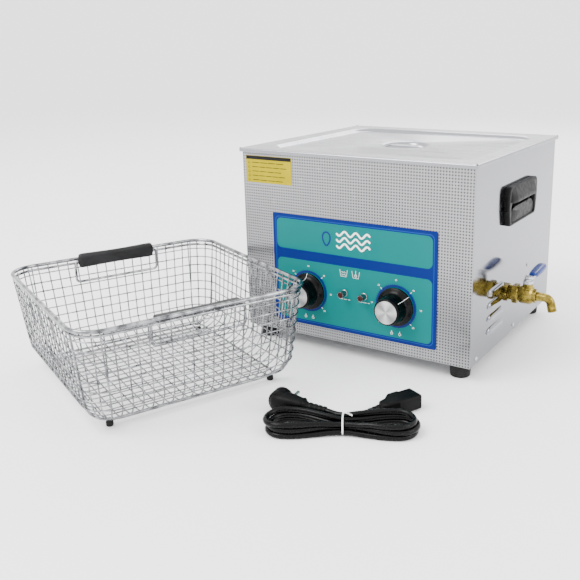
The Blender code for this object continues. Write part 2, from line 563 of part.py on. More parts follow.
def make_drain():
    top = TANK_FLOOR - SHEET - GAP
    bend, x = PIPE_BEND, drain_x()
    path = [(x, VALVE_Y, top), (x, VALVE_Y, VALVE_Z + bend)]
    for k in range(1, 9):
        a = math.pi / 2 * k / 8
        path.append((x + bend * (1 - math.cos(a)), VALVE_Y, VALVE_Z + bend * (1 - math.sin(a))))
    start = RIGHT + GAP
    path.append((start + NIPPLE_LEN * 0.6, VALVE_Y, VALVE_Z))
    bore = PIPE_R - PIPE_WALL
    pipe("drain_pipe", path, PIPE_R, bore, BRASS)
    hexagonal = hexagon(0.0215)
    nut_from = RIGHT - SHEET - GAP - 0.006
    nut = prism("drain_locknut", hexagonal, "X", nut_from, nut_from + 0.006, BRASS, (0, VALVE_Y, VALVE_Z))
    cut(nut, round_cutter((nut_from, VALVE_Y, VALVE_Z), "X", PIPE_R + GAP, 0.03))

    end = NIPPLE_LEN
    turned("valve_nipple", [(PIPE_R + GAP, 0), (NIPPLE_R, 0), (NIPPLE_R, end * 0.55),
                            (NIPPLE_R - 0.0015, end * 0.62), (NIPPLE_R - 0.0015, end), (bore, end),
                            (bore, end * 0.6 + GAP), (PIPE_R + GAP, end * 0.6 + GAP)],
           BRASS, (start, VALVE_Y, VALVE_Z), FACE_RIGHT, sides=24)

    body_x = start + NIPPLE_LEN + GAP
    length, ball_at = BODY_LEN, BODY_LEN * BALL_SHARE
    ball_x = body_x + ball_at
    profile = [(BORE_R, 0), (BODY_R - 0.0004, 0), (BODY_R, 0.0004), (BODY_R, 0.0085),
               (BODY_R - 0.0012, 0.0092), (BODY_R - 0.0012, 0.0108), (BODY_R, 0.0118),
               (BODY_R, length - 0.0065), (BODY_R - 0.0024, length - 0.0050),
               (BODY_R - 0.0024, length), (BORE_R, length)]
    pocket_r, half = BALL_R + 2 * GAP, 8
    reach = math.sqrt(pocket_r ** 2 - BORE_R ** 2)
    profile_inside = []
    for k in range(half + 1):
        a = math.pi * k / half
        h = reach * math.cos(a)
        profile_inside.append((math.sqrt(pocket_r ** 2 - h ** 2), ball_at + h))
    body = turned("valve_body", profile + profile_inside, BRASS, (body_x, VALVE_Y, VALVE_Z),
                  FACE_RIGHT, sides=24)
    seat = pocket_r + GAP
    boss = turned("boss", [(0, seat), (BOSS_R - 0.0010, seat), (BOSS_R + 0.0014, seat - 0.0013),
                           (BOSS_R, BODY_R + 0.001), (BOSS_R, BOSS_TOP), (0, BOSS_TOP)],
                  BRASS, (ball_x, VALVE_Y, VALVE_Z), sides=16)
    weld(body, boss)
    cut(body, round_cutter((ball_x, VALVE_Y, VALVE_Z + BALL_R + 0.008), "Z", STEM_R + GAP, 0.018, 12))

    bm = bmesh.new()
    bmesh.ops.create_uvsphere(bm, u_segments=20, v_segments=10, radius=BALL_R)
    ball = to_object("valve_ball", bm, CHROME, (ball_x, VALVE_Y, VALVE_Z))
    cut(ball, round_cutter((ball_x, VALVE_Y, VALVE_Z), "Y", BORE_R - 0.0005, 0.03))

    turned("valve_stem", [(0, BALL_R + GAP), (STEM_R, BALL_R + GAP), (STEM_R, STEM_TOP - 0.0005),
                          (STEM_R - 0.0005, STEM_TOP), (0, STEM_TOP)], STEEL,
           (ball_x, VALVE_Y, VALVE_Z), sides=12)
    nut_low = BOSS_TOP + GAP
    gland = prism("valve_gland_nut", hexagon(0.0125), "Z", nut_low, nut_low + 0.0042, STEEL,
                  (ball_x, VALVE_Y, VALVE_Z))
    cut(gland, round_cutter((ball_x, VALVE_Y, VALVE_Z + nut_low), "Z", STEM_R + GAP, 0.02, 12))
    make_lever(ball_x, nut_low + 0.0042 + GAP)

    spout_x = body_x + BODY_LEN + GAP
    path = [(spout_x, VALVE_Y, VALVE_Z), (spout_x + SPOUT_RUN, VALVE_Y, VALVE_Z)]
    for k in range(1, 6):
        a = SPOUT_TILT * k / 5
        path.append((spout_x + SPOUT_RUN + SPOUT_BEND * math.sin(a), VALVE_Y,
                     VALVE_Z - SPOUT_BEND * (1 - math.cos(a))))
    last = Vector(path[-1])
    path.append(last + Vector((math.cos(SPOUT_TILT), 0, -math.sin(SPOUT_TILT))) * SPOUT_DROP)
    pipe("valve_spout", path, SPOUT_R, SPOUT_R - 0.0015, BRASS)


def make_lever(x, low):
    """The valve's cranked steel lever, on the stem, and the vinyl sleeve on its far part."""
    half, t = LEVER_W / 2, LEVER_T
    crank = 0.012
    rise = LEVER_RISE
    side = [(-0.0075, low), (crank, low), (LEVER_LEN, low + rise), (LEVER_LEN, low + rise + t),
            (crank, low + t), (-0.0075, low + t)]
    place = (x, VALVE_Y, VALVE_Z)
    lever = prism("valve_lever", side, "X", -half, half, STEEL, place)
    cut(lever, round_cutter((x, VALVE_Y, VALVE_Z + low), "Z", STEM_R + GAP, 0.02, 12))

    def height(y):
        return low + rise * (y - crank) / (LEVER_LEN - crank)

    start, end = LEVER_LEN - GRIP_LEN + 0.005, LEVER_LEN + 0.0055

    def section(y, wide, tall):
        centre = height(y) + t / 2
        return [(wide * math.cos(2 * math.pi * k / 16), y,
                 centre + tall * math.sin(2 * math.pi * k / 16)) for k in range(16)]

    wide, tall = GRIP_W / 2, GRIP_T / 2
    rings = [section(start, wide - 0.0012, tall - 0.0012), section(start + 0.001, wide, tall),
             section(end - 0.004, wide, tall), section(end - 0.0012, wide * 0.86, tall * 0.86),
             section(end, wide * 0.5, tall * 0.5)]
    grip = loft("valve_lever_grip", rings, BLUE_VINYL, place)
    fit = 2 * GAP
    far = LEVER_LEN + fit
    slot = [(start - 0.002, height(start - 0.002) - fit), (far, height(far) - fit),
            (far, height(far) + t + fit), (start - 0.002, height(start - 0.002) + t + fit)]
    cut(grip, prism("slot", slot, "X", -half - fit, half + fit, BLACK, place))


# ---- electrics -----------------------------------------------------------------------------
def inlet_place():
    return RIGHT - INLET_FROM_RIGHT, BASE + INLET_UP


def make_electrics():
    floor = BASE + SHEET + GAP
    x = LEFT + 0.032
    y0 = MID_Y - BOARD_L / 2
    block("generator_board", (x, y0, floor), (x + BOARD_T, y0 + BOARD_L, floor + BOARD_H), BOARD_GREEN)
    sink_x = x - GAP - 0.003
    fins = [(sink_x, 0.0), (sink_x, 0.050)]
    for k in range(6):
        low = 0.050 - k * 0.009
        fins += [(sink_x - 0.018, low), (sink_x - 0.018, low - 0.002), (sink_x, low - 0.002)]
        if k < 5:
            fins.append((sink_x, low - 0.009))
    outline = [(sink_x + 0.003, 0.0), (sink_x + 0.003, 0.050)] + fins[1:]
    outline[-1] = (sink_x, 0.0)
    prism("board_heatsink", outline, "Y", y0 + 0.015, y0 + BOARD_L - 0.015, ALUMINIUM, (0, 0, floor + 0.012))

    fan_x, fan_z = LEFT + FAN_FROM_LEFT, BASE + FAN_UP
    back = BACK - SHEET - GAP
    half = FAN_SIZE / 2
    frame = block("fan_frame", (fan_x - half, back - FAN_DEPTH, fan_z - half),
                  (fan_x + half, back, fan_z + half), BLACK)
    cut(frame, round_cutter((fan_x, back - FAN_DEPTH / 2, fan_z), "Y", FAN_BORE_R, FAN_DEPTH * 1.2, 28))
    bar = block("strut", (fan_x - FAN_BORE_R - 0.001, back - FAN_DEPTH, fan_z - 0.004),
                (fan_x + FAN_BORE_R + 0.001, back - FAN_DEPTH + 0.0025, fan_z + 0.004), BLACK)
    weld(frame, bar)
    middle = back - FAN_DEPTH / 2 + 0.0015
    hub = turned("fan_rotor", [(0, -0.009), (FAN_HUB_R, -0.009), (FAN_HUB_R, 0.009), (0, 0.009)],
                 BLACK, (fan_x, middle, fan_z), FACE_BACK, sides=20)
    for k in range(FAN_BLADES):
        a = 2 * math.pi * k / FAN_BLADES
        bm = bmesh.new()
        reach = FAN_BORE_R - 0.0015 - FAN_HUB_R * 0.9
        bmesh.ops.create_cube(bm, size=1.0, matrix=Matrix.Diagonal((reach, 0.0015, 0.017, 1.0)))
        middle_r = FAN_HUB_R * 0.9 + reach / 2
        bmesh.ops.rotate(bm, verts=bm.verts, matrix=Matrix.Rotation(math.radians(50), 3, "X"))
        bmesh.ops.translate(bm, verts=bm.verts, vec=(middle_r, 0, 0))
        bmesh.ops.rotate(bm, verts=bm.verts, matrix=Matrix.Rotation(a, 3, "Z"))
        weld(hub, to_object("blade", bm, BLACK, (fan_x, middle, fan_z), FACE_BACK, smooth=False))

    x, z = inlet_place()
    w, h = INLET_W / 2, INLET_H / 2
    inlet = block("power_inlet", (x - w, BACK + GAP, z - h), (x + w, BACK + GAP + 0.003, z + h), BLACK)
    weld(inlet, block("shell", (x - w * 0.68, BACK - INLET_DEPTH, z - h * 0.78),
                      (x + w * 0.68, BACK + 0.002, z + h * 0.78), BLACK))
    cut(inlet, box_cutter((x - w * 0.52, BACK - INLET_DEPTH + 0.003, z - h * 0.58),
                          (x + w * 0.52, BACK + 0.010, z + h * 0.58)))
    for dx in (-0.007, 0.0, 0.007):
        rise = 0.002 if dx == 0.0 else -0.002
        weld(inlet, block("pin", (x + dx - 0.001, BACK - INLET_DEPTH + 0.001, z + rise - 0.002),
                          (x + dx + 0.001, BACK - 0.004, z + rise + 0.002), BLACK))


# ---- basket --------------------------------------------------------------------------------
BASKET_PLACE = (BASKET_X, BASKET_Y, 0)
BASKET_ROTATION = (0, 0, BASKET_TURN)


def wall_half(z):
    """The basket wall's half sizes at height z, from its bottom rounding up to the rim."""
    low = BASKET_CLEAR + BASKET_ROUND
    share = (z - low) / (BASKET_H - low)
    return tuple(l + (t - l) * share for l, t in zip(BASKET_LOW_HALF, BASKET_RIM_HALF))


def make_basket():
    """A tapered bowl with rounded corners.  The mesh is drawn as a thin shell."""
    def skin(d):
        """The rings of the wall offset outwards by d, from the bottom up."""
        rings = []
        for k in range(4):
            a = math.pi / 2 * k / 3
            low = BASKET_CLEAR + BASKET_ROUND
            shrink = BASKET_ROUND * (1 - math.sin(a))
            half = [h - shrink + d * math.sin(a) for h in BASKET_LOW_HALF]
            z = low - BASKET_ROUND * math.cos(a) - d * math.cos(a)
            rings.append(rounded_ring(half[0], half[1], BASKET_CORNER - shrink * 0.5, z))
        top = BASKET_H - RIM_R - GAP
        half = wall_half(top)
        rings.append(rounded_ring(half[0] + d, half[1] + d, BASKET_CORNER + d, top))
        return rings

    shell = BASKET_SHELL / 2
    bowl = loft("basket_mesh", skin(shell) + list(reversed(skin(-shell))), WIRE,
                BASKET_PLACE, BASKET_ROTATION)
    turn = Matrix.Rotation(BASKET_TURN, 3, "Z")
    for u in (-BASKET_FEET_HALF[0], BASKET_FEET_HALF[0]):
        for v in (-BASKET_FEET_HALF[1], BASKET_FEET_HALF[1]):
            spot = turn @ Vector((u, v, 0)) + Vector(BASKET_PLACE)
            weld(bowl, turned("leg", [(0, 0), (BASKET_FOOT_R, 0), (BASKET_FOOT_R, BASKET_CLEAR + 0.004),
                                      (0, BASKET_CLEAR + 0.004)], WIRE, spot, sides=10))
    rim = rounded_ring(*BASKET_RIM_HALF, BASKET_CORNER, BASKET_H, steps=6)
    wire("basket_rim", rim, RIM_R, WIRE, BASKET_PLACE, BASKET_ROTATION, cyclic=True)

    for name, side, hang, sleeve in (("front", -1, FRONT_BAIL_LOW, FRONT_SLEEVE),
                                     ("back", 1, 0.0, BACK_SLEEVE)):
        v = side * (BASKET_RIM_HALF[1] - LOOP_IN)
        top = BASKET_H - hang
        low = top - LOOP_DROP
        corner = 0.005
        points = [(-LOOP_HALF + corner, v, low), (LOOP_HALF - corner, v, low)]
        inner = LOOP_HALF - corner
        for mx, mz, start in ((inner, low + corner, -90), (inner, top - corner, 0),
                              (-inner, top - corner, 90), (-inner, low + corner, 180)):
            for k in range(4):
                a = math.radians(start + 90 * k / 3)
                points.append((mx + corner * math.cos(a), v, mz + corner * math.sin(a)))
        points = points[2:]
        wire(f"basket_handle_{name}", points, LOOP_R, WIRE, BASKET_PLACE, BASKET_ROTATION, cyclic=True)
        half, bore = GRIP_SLEEVE_HALF - corner, LOOP_R + GAP
        rings = []
        for u, scale in ((-half, 0.86), (-half + 0.0015, 1.0), (half - 0.0015, 1.0), (half, 0.86)):
            rings.append([(u, v + scale * sleeve[0] * math.cos(2 * math.pi * k / 16),
                           top + scale * sleeve[1] * math.sin(2 * math.pi * k / 16)) for k in range(16)])
        for u in (half, -half):
            rings.append([(u, v + bore * math.cos(2 * math.pi * k / 16),
                           top + bore * math.sin(2 * math.pi * k / 16)) for k in range(16)])
        loft(f"basket_grip_{name}", rings, RUBBER, BASKET_PLACE, BASKET_ROTATION, closed=True)


# ---- mains lead ----------------------------------------------------------------------------
HANK_PLACE = (HANK_X, HANK_Y, 0)
HANK_ROTATION = (0, 0, HANK_TURN)


def hank_half_width(along):
    """Half the hank's width: two round lobes, drawn in to a waist where it is tied."""
    centre = HANK_HALF_LEN - HANK_LOBE_R
    if abs(along) >= centre:
        return math.sqrt(max(HANK_LOBE_R ** 2 - (abs(along) - centre) ** 2, 0.0))
    pinch = (HANK_LOBE_R - HANK_WAIST) * math.cos(math.pi * along / (2 * centre)) ** 2
    return HANK_LOBE_R - pinch


def make_lead():
    low = TIE_T + 2 * GAP
    steps = 24
    upper = []
    for k in range(steps + 1):
        along = HANK_HALF_LEN * math.cos(math.pi * k / steps)
        upper.append((along, hank_half_width(along)))
    outline = upper + [(a, -w) for a, w in reversed(upper[1:-1])]
    hank = prism("cord_hank", outline, "Z", low, low + HANK_H, BLACK, HANK_PLACE)
    hank.rotation_euler = HANK_ROTATION

    inside, top = HANK_WAIST + 2 * GAP, low + HANK_H + GAP
    ring = [(-inside - TIE_T, GAP), (inside + TIE_T, GAP), (inside + TIE_T, top + TIE_T),
            (-inside - TIE_T, top + TIE_T)]
    hole = [(-inside, low - GAP), (inside, low - GAP), (inside, top), (-inside, top)]
    tie = prism("cord_tie", ring, "X", -TIE_W / 2, TIE_W / 2, TIE_WHITE, HANK_PLACE)
    tie.rotation_euler = HANK_ROTATION
    mouth = prism("mouth", hole, "X", -TIE_W, TIE_W, TIE_WHITE, HANK_PLACE)
    mouth.rotation_euler = HANK_ROTATION
    cut(tie, mouth)
    make_plug()
    make_connector()


def hank_point(along, across, z):
    turn = Matrix.Rotation(HANK_TURN, 3, "Z")
    return turn @ Vector((along, across, 0)) + Vector((HANK_X, HANK_Y, z))


def make_plug():
    """An angled moulded plug: a round head with two pins on its far face, and a ribbed relief."""
    z = PLUG_FACE_R + GAP
    tip, end = hank_point(*PLUG_TIP, z), hank_point(*PLUG_END, z)
    way = tip - end
    length, turn = way.length, math.atan2(way.y, way.x)
    r = PLUG_BODY_R
    profile = [(0, -0.0110), (r * 0.55, -0.0110), (r * 0.88, -0.0070), (r, 0.0010), (r, 0.0120),
               (r * 0.84, 0.0230), (0.0072, 0.0340), (0.0064, 0.0400), (RELIEF_R, length * 0.80),
               (RELIEF_R, length), (0, length)]
    plug = turned("mains_plug", profile, BLACK, end, (0, math.pi / 2, turn), sides=18)
    away = (-math.pi / 2, 0, turn)
    face = PLUG_HEAD_T
    head = turned("head", [(0, -0.0060), (PLUG_FACE_R - 0.0025, -0.0060), (PLUG_FACE_R, -0.0030),
                           (PLUG_FACE_R, face), (0, face)], BLACK, end, away, sides=20)
    weld(plug, head)
    turn_matrix = Matrix.Rotation(turn, 3, "Z")
    for along in (-PIN_PITCH / 2, PIN_PITCH / 2):
        spot = end + turn_matrix @ Vector((along, 0, 0))
        pin = turned("pin", [(0, face - 0.002), (PIN_R, face - 0.002), (PIN_R, face + PIN_LEN - 0.0015),
                             (PIN_R - 0.0008, face + PIN_LEN), (0, face + PIN_LEN)],
                     CHROME, spot, away, sides=10)
        weld(plug, pin)


def make_connector():
    """The appliance connector: a moulded body with two cut corners and a ribbed relief."""
    z = CONNECTOR_H / 2 + GAP
    tip, end = hank_point(*CONNECTOR_TIP, z), hank_point(*CONNECTOR_END, z)
    way = end - tip
    length, turn = way.length, math.atan2(way.y, way.x)
    w, h = CONNECTOR_W / 2, CONNECTOR_H / 2

    def section(x, half_w, half_h, slope):
        return [(x, -half_w, -half_h), (x, half_w, -half_h), (x, half_w, half_h - slope),
                (x, half_w - slope, half_h), (x, -half_w + slope, half_h), (x, -half_w, half_h - slope)]

    rear = length - CONNECTOR_LEN
    rings = [section(0, RELIEF_R, RELIEF_R, 0.003),
             section(rear - 0.018, RELIEF_R + 0.001, RELIEF_R + 0.001, 0.003),
             section(rear - 0.016, 0.0080, 0.0075, 0.003), section(rear - 0.004, w * 0.80, h * 0.86, 0.004),
             section(rear, w, h, 0.005), section(length, w, h, 0.005)]
    plug = loft("mains_connector", rings, BLACK, tip, (0, 0, turn))
    turn_matrix = Matrix.Rotation(turn, 3, "Z")
    for across in (-0.007, 0.0, 0.007):
        rise = 0.002 if across == 0.0 else -0.002
        spot = end + turn_matrix @ Vector((0, across, 0)) + Vector((0, 0, rise))
        bm = bmesh.new()
        bmesh.ops.create_cube(bm, size=1.0, matrix=Matrix.Diagonal((0.030, 0.0026, 0.0060, 1.0)))
        slot = to_object("slot", bm, BLACK, spot, (0, 0, turn), smooth=False)
        cut(plug, slot)


make_case()
make_tank()
make_transducers()
make_lid()
make_overlay()
make_knobs()
make_lamps()
make_handles()
make_drain()
make_electrics()
make_basket()
make_lead()
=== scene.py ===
"""The looks of a bench-top ultrasonic cleaner, its wire basket and its mains lead.

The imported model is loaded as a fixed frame.  Each section then makes one piece or one group of
like pieces: its sizes, its mesh, its material and the body that it moves with.
"""
import math

import bmesh
import bpy
import numpy as np
from mathutils import Matrix, Vector


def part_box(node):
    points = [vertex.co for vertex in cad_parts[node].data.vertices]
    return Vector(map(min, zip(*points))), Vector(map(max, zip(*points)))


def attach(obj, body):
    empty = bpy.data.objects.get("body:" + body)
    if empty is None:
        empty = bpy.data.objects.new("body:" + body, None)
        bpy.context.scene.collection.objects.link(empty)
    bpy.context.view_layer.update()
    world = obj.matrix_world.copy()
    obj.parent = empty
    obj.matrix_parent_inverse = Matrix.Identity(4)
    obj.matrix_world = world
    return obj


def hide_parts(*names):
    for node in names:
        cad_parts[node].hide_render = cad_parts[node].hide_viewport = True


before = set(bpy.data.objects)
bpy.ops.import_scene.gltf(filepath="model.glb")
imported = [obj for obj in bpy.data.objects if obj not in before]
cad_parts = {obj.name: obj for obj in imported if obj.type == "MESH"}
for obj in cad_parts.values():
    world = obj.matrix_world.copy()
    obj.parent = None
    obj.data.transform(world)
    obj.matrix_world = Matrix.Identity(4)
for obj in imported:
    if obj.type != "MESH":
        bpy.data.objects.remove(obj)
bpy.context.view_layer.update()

LEFT, FRONT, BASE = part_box("front_panel")[0]
RIGHT, _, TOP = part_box("front_panel")[1]
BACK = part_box("back_panel")[1].y
MID_X, MID_Y = (LEFT + RIGHT) / 2.0, (FRONT + BACK) / 2.0

# ---- Camera ---------------------------------------------------------------------------------
# It stands in front of the cleaner's right-hand corner, a little above the lid, and looks down
# at the whole set.  The small roll and shift keep the case low and to the right of the frame.
CAMERA_TURN, CAMERA_RISE, CAMERA_ROLL = 0.5485, 0.2618, -0.0132
CAMERA_FROM_CORNER = (0.6845, -0.8598, 0.4028)



def shown(name, data):
    """A new object in the scene from a mesh, curve, light or camera."""
    made = bpy.data.objects.new(name, data)
    bpy.context.scene.collection.objects.link(made)
    return made


camera_data = bpy.data.cameras.new("camera")
camera_data.lens = 47.907
camera_data.sensor_width = 36.0
camera_data.shift_x, camera_data.shift_y = -0.0862, -0.0690
camera = shown("camera", camera_data)
turn_cos, turn_sin = math.cos(CAMERA_TURN), math.sin(CAMERA_TURN)
rise_cos, rise_sin = math.cos(CAMERA_RISE), math.sin(CAMERA_RISE)
across = Vector((turn_cos, turn_sin, 0.0))
behind = Vector((turn_sin * rise_cos, -turn_cos * rise_cos, rise_sin))
upward = behind.cross(across)
rolled_across = across * math.cos(CAMERA_ROLL) + upward * math.sin(CAMERA_ROLL)
rolled_upward = upward * math.cos(CAMERA_ROLL) - across * math.sin(CAMERA_ROLL)
stand = Matrix((rolled_across, rolled_upward, behind)).transposed().to_4x4()
stand.translation = Vector((LEFT, FRONT, BASE)) + Vector(CAMERA_FROM_CORNER)
camera.matrix_world = stand
bpy.context.scene.camera = camera


# ---- Mains lead: sheathed cord, plug, connector and tie --------------------------------------
# A three-core PVC lead, wound into a hank of seven runs and tied at its waist with a white
# plastic-coated wire.  The plug and the connector are moulded straight onto the cord.
def linear(code):
    """An sRGB hex colour as linear red, green, blue and alpha."""
    srgb = np.array([int(code[i:i + 2], 16) for i in (1, 3, 5)]) / 255.0
    rgb = np.where(srgb <= 0.04045, srgb / 12.92, ((srgb + 0.055) / 1.055) ** 2.4)
    return (*rgb.tolist(), 1.0)


def add(tree, kind, props=None, inputs=None):
    """Adds a shader node.  props are its settings; an input is a value or a socket to link."""
    made = tree.nodes.new(kind)
    for key, value in (props or {}).items():
        setattr(made, key, value)
    for key, value in (inputs or {}).items():
        if isinstance(value, bpy.types.NodeSocket):
            tree.links.new(value, made.inputs[key])
        else:
            made.inputs[key].default_value = value
    return made


def maths(tree, operation, *values):
    """One math node's result, from values or sockets."""
    return add(tree, "ShaderNodeMath", {"operation": operation}, dict(enumerate(values))).outputs[0]


def start_finish(name, code, metallic, roughness, **sockets):
    """A material, its tree, its Principled shader and the Object coordinates it is drawn in."""
    made = bpy.data.materials.new(name)
    made.use_nodes = True
    tree = made.node_tree
    shader = tree.nodes["Principled BSDF"]
    shader.inputs["Base Color"].default_value = linear(code)
    shader.inputs["Metallic"].default_value = metallic
    shader.inputs["Roughness"].default_value = roughness
    for key, value in sockets.items():
        shader.inputs[key.replace("_", " ")].default_value = value
    place = add(tree, "ShaderNodeTexCoord").outputs["Object"]
    return made, tree, shader, place


def vary(tree, place, scale, low, high, stretch=(1.0, 1.0, 1.0), detail=3.0):
    """Noise between two values: scale is its cells to a metre, stretched along each axis."""
    spread = add(tree, "ShaderNodeMapping", inputs={"Vector": place, "Scale": stretch})
    noise = add(tree, "ShaderNodeTexNoise", inputs={
        "Vector": spread.outputs[0], "Scale": scale, "Detail": detail})
    return add(tree, "ShaderNodeMapRange", inputs={
        0: noise.outputs[0], 1: 0.3, 2: 0.7, 3: low, 4: high}).outputs[0]


def bumped(tree, shader, height, strength, distance):
    """Feeds a height into the shader's normal; distance is the bump's real depth in metres."""
    bump = add(tree, "ShaderNodeBump", inputs={
        "Height": height, "Strength": strength, "Distance": distance})
    tree.links.new(bump.outputs[0], shader.inputs["Normal"])


def tinted(tree, shader, amount, dark, light):
    """Runs the base colour between two hex colours by an amount from 0 to 1."""
    mixed = add(tree, "ShaderNodeMix", {"data_type": "RGBA"},
                {0: amount, 6: linear(dark), 7: linear(light)})
    tree.links.new(mixed.outputs[2], shader.inputs["Base Color"])


def surface(name, code, metallic, roughness, grain=None, bump=None, tint=None, **sockets):
    """A finish with noise in it.  tint is the noise's scale and the two colours it runs between,
    grain its scale and the roughness at both ends, and bump its scale, strength and depth; a
    last value, if there is one, is the noise's stretch, or the bump's detail."""
    made, tree, shader, place = start_finish(name, code, metallic, roughness, **sockets)
    if tint:
        scale, dark, light, *stretch = tint
        tinted(tree, shader, vary(tree, place, scale, 0.0, 1.0, *stretch), dark, light)
    if grain:
        tree.links.new(vary(tree, place, *grain), shader.inputs["Roughness"])
    if bump:
        scale, strength, depth, *detail = bump
        rough = vary(tree, place, scale, 0.0, 1.0, (1.0, 1.0, 1.0), *detail)
        bumped(tree, shader, rough, strength, depth)
    return made


def loft(rings, wrap=False, caps=True):
    """Quads over rings of points (ring, point, xyz), closed round each ring.  wrap joins the
    last ring to the first; otherwise caps closes both ends with one flat face each."""
    rings = np.asarray(rings, float)
    count, around = rings.shape[:2]
    i, j = np.meshgrid(np.arange(count if wrap else count - 1), np.arange(around), indexing="ij")
    far, step = (i + 1) % count, (j + 1) % around
    quads = np.stack([i * around + j, i * around + step, far * around + step, far * around + j], -1)
    faces = quads.reshape(-1, 4).tolist()
    if caps and not wrap:
        faces.append(list(range(around))[::-1])
        faces.append(list(range((count - 1) * around, count * around)))
    return rings.reshape(-1, 3), faces


def piece(name, shapes, finish, body, replaced=(), sharp=35.0, facing=True):
    """One object at the origin from a list of (points, faces), riding on a body."""
    points, faces, offset = [], [], 0
    for verts, quads in shapes:
        points.append(verts)
        faces += [[k + offset for k in face] for face in quads]
        offset += len(verts)
    mesh = bpy.data.meshes.new(name)
    mesh.from_pydata(np.concatenate(points).tolist(), [], faces)
    if facing:
        bm = bmesh.new()
        bm.from_mesh(mesh)
        bmesh.ops.recalc_face_normals(bm, faces=bm.faces)
        bm.to_mesh(mesh)
        bm.free()
    mesh.shade_smooth()
    mesh.set_sharp_from_angle(angle=math.radians(sharp))
    mesh.materials.append(finish)
    made = shown(name, mesh)
    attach(made, body)
    if replaced:
        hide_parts(*replaced)
    return made


def tube(path, radius, sides, flat, closed=False):
    """Rings of a round tube: at each point of the path a circle stands square to the path, in
    the plane of the path's side (flat, less its part along the path) and the cross of both."""
    path = np.asarray(path, float)
    ahead = np.roll(path, -1, 0) - np.roll(path, 1, 0) if closed else np.gradient(path, axis=0)
    ahead /= np.linalg.norm(ahead, axis=1, keepdims=True)
    side = np.asarray(flat, float) - ahead * (ahead @ np.asarray(flat, float))[:, None]
    side /= np.linalg.norm(side, axis=1, keepdims=True)
    lift = np.cross(ahead, side)
    angle = np.arange(sides) * math.tau / sides
    reach = np.broadcast_to(np.asarray(radius, float), len(path))[:, None, None]
    round_side = np.cos(angle)[None, :, None] * side[:, None]
    return path[:, None] + reach * (round_side + np.sin(angle)[None, :, None] * lift[:, None])


def eased(t):
    """A smooth step from 0 to 1."""
    t = np.clip(t, 0.0, 1.0)
    return t * t * (3.0 - 2.0 * t)


def joined(start, start_way, end, end_way, count):
    """A cubic curve between two points that leaves and arrives along two directions."""
    t = np.linspace(0.0, 1.0, count)[:, None]
    span = np.linalg.norm(np.subtract(end, start))
    leave, arrive = np.multiply(start_way, span), np.multiply(end_way, span)
    return ((2 * t ** 3 - 3 * t ** 2 + 1) * start + (t ** 3 - 2 * t ** 2 + t) * leave
            + (3 * t ** 2 - 2 * t ** 3) * end + (t ** 3 - t ** 2) * arrive)


CORD_D = 0.0066
CORD_LAY = CORD_D + 0.0001           # between the middles of two turns that touch
HANK_TURN = math.radians(27.6)
LOBE_FROM_WAIST, LOBE_R = 0.0648, 0.0199
PAST_CONNECTOR, PAST_PLUG = 0.0150, 0.0185   # where the first and last turns leave the waist
SAME_BEND = 14                       # neighbouring points that are never laid on each other
END_RISE = 9.0                       # points over which the cord climbs to a fitting's middle
PLUG_TIP, PLUG_END = np.array((-0.0200, 0.0222)), np.array((-0.0770, 0.0440))
CONNECTOR_TIP, CONNECTOR_END = np.array((0.0250, 0.0226)), np.array((0.0840, 0.0668))
PLUG_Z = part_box("mains_plug")[1].z / 2.0
CONNECTOR_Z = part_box("mains_connector")[1].z / 2.0


def centre(name):
    """The middle of a node's box."""
    return tuple((a + b) / 2.0 for a, b in zip(*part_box(name)))


def half_size(name):
    """Half of a node's box along X, Y and Z."""
    return tuple((b - a) / 2.0 for a, b in zip(*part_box(name)))


def placed(points, turn, at=(0.0, 0.0)):
    """Points turned about Z and moved to a place in X and Y."""
    points = np.array(points, float)
    c, s = math.cos(turn), math.sin(turn)
    a, b = points[..., 0].copy(), points[..., 1].copy()
    points[..., 0] = at[0] + a * c - b * s
    points[..., 1] = at[1] + a * s + b * c
    return points


def on_hank(points):
    """Points drawn along and across the hank, turned and moved to where it lies."""
    return placed(points, HANK_TURN, HANK_AT)


HANK_AT = centre("cord_hank")[:2]


def half_turn(side, start_y, end_y, shrink, moved):
    """From the waist round one lobe and back: out along an eased curve, half a circle whose
    radius is the lobe's less shrink, and back to the waist on the other edge."""
    r = LOBE_R - shrink
    out = np.linspace(0.0, 1.0, 13)[:-1]
    turn = np.linspace(0.0, 1.0, 19)
    middle = LOBE_FROM_WAIST - moved
    sense = math.copysign(1.0, start_y)
    leave = np.stack([side * middle * out, start_y + (sense * r - start_y) * eased(out * 1.08)], 1)
    bend = np.stack([side * (middle + r * np.sin(math.pi * turn)), sense * r * np.cos(math.pi * turn)], 1)
    back_t = np.linspace(0.0, 1.0, 13)[1:]
    back = np.stack([side * middle * (1.0 - back_t),
                     -sense * r + (end_y + sense * r) * (1.0 - eased((1.0 - back_t) * 1.08))], 1)
    return np.concatenate([leave, bend, back])


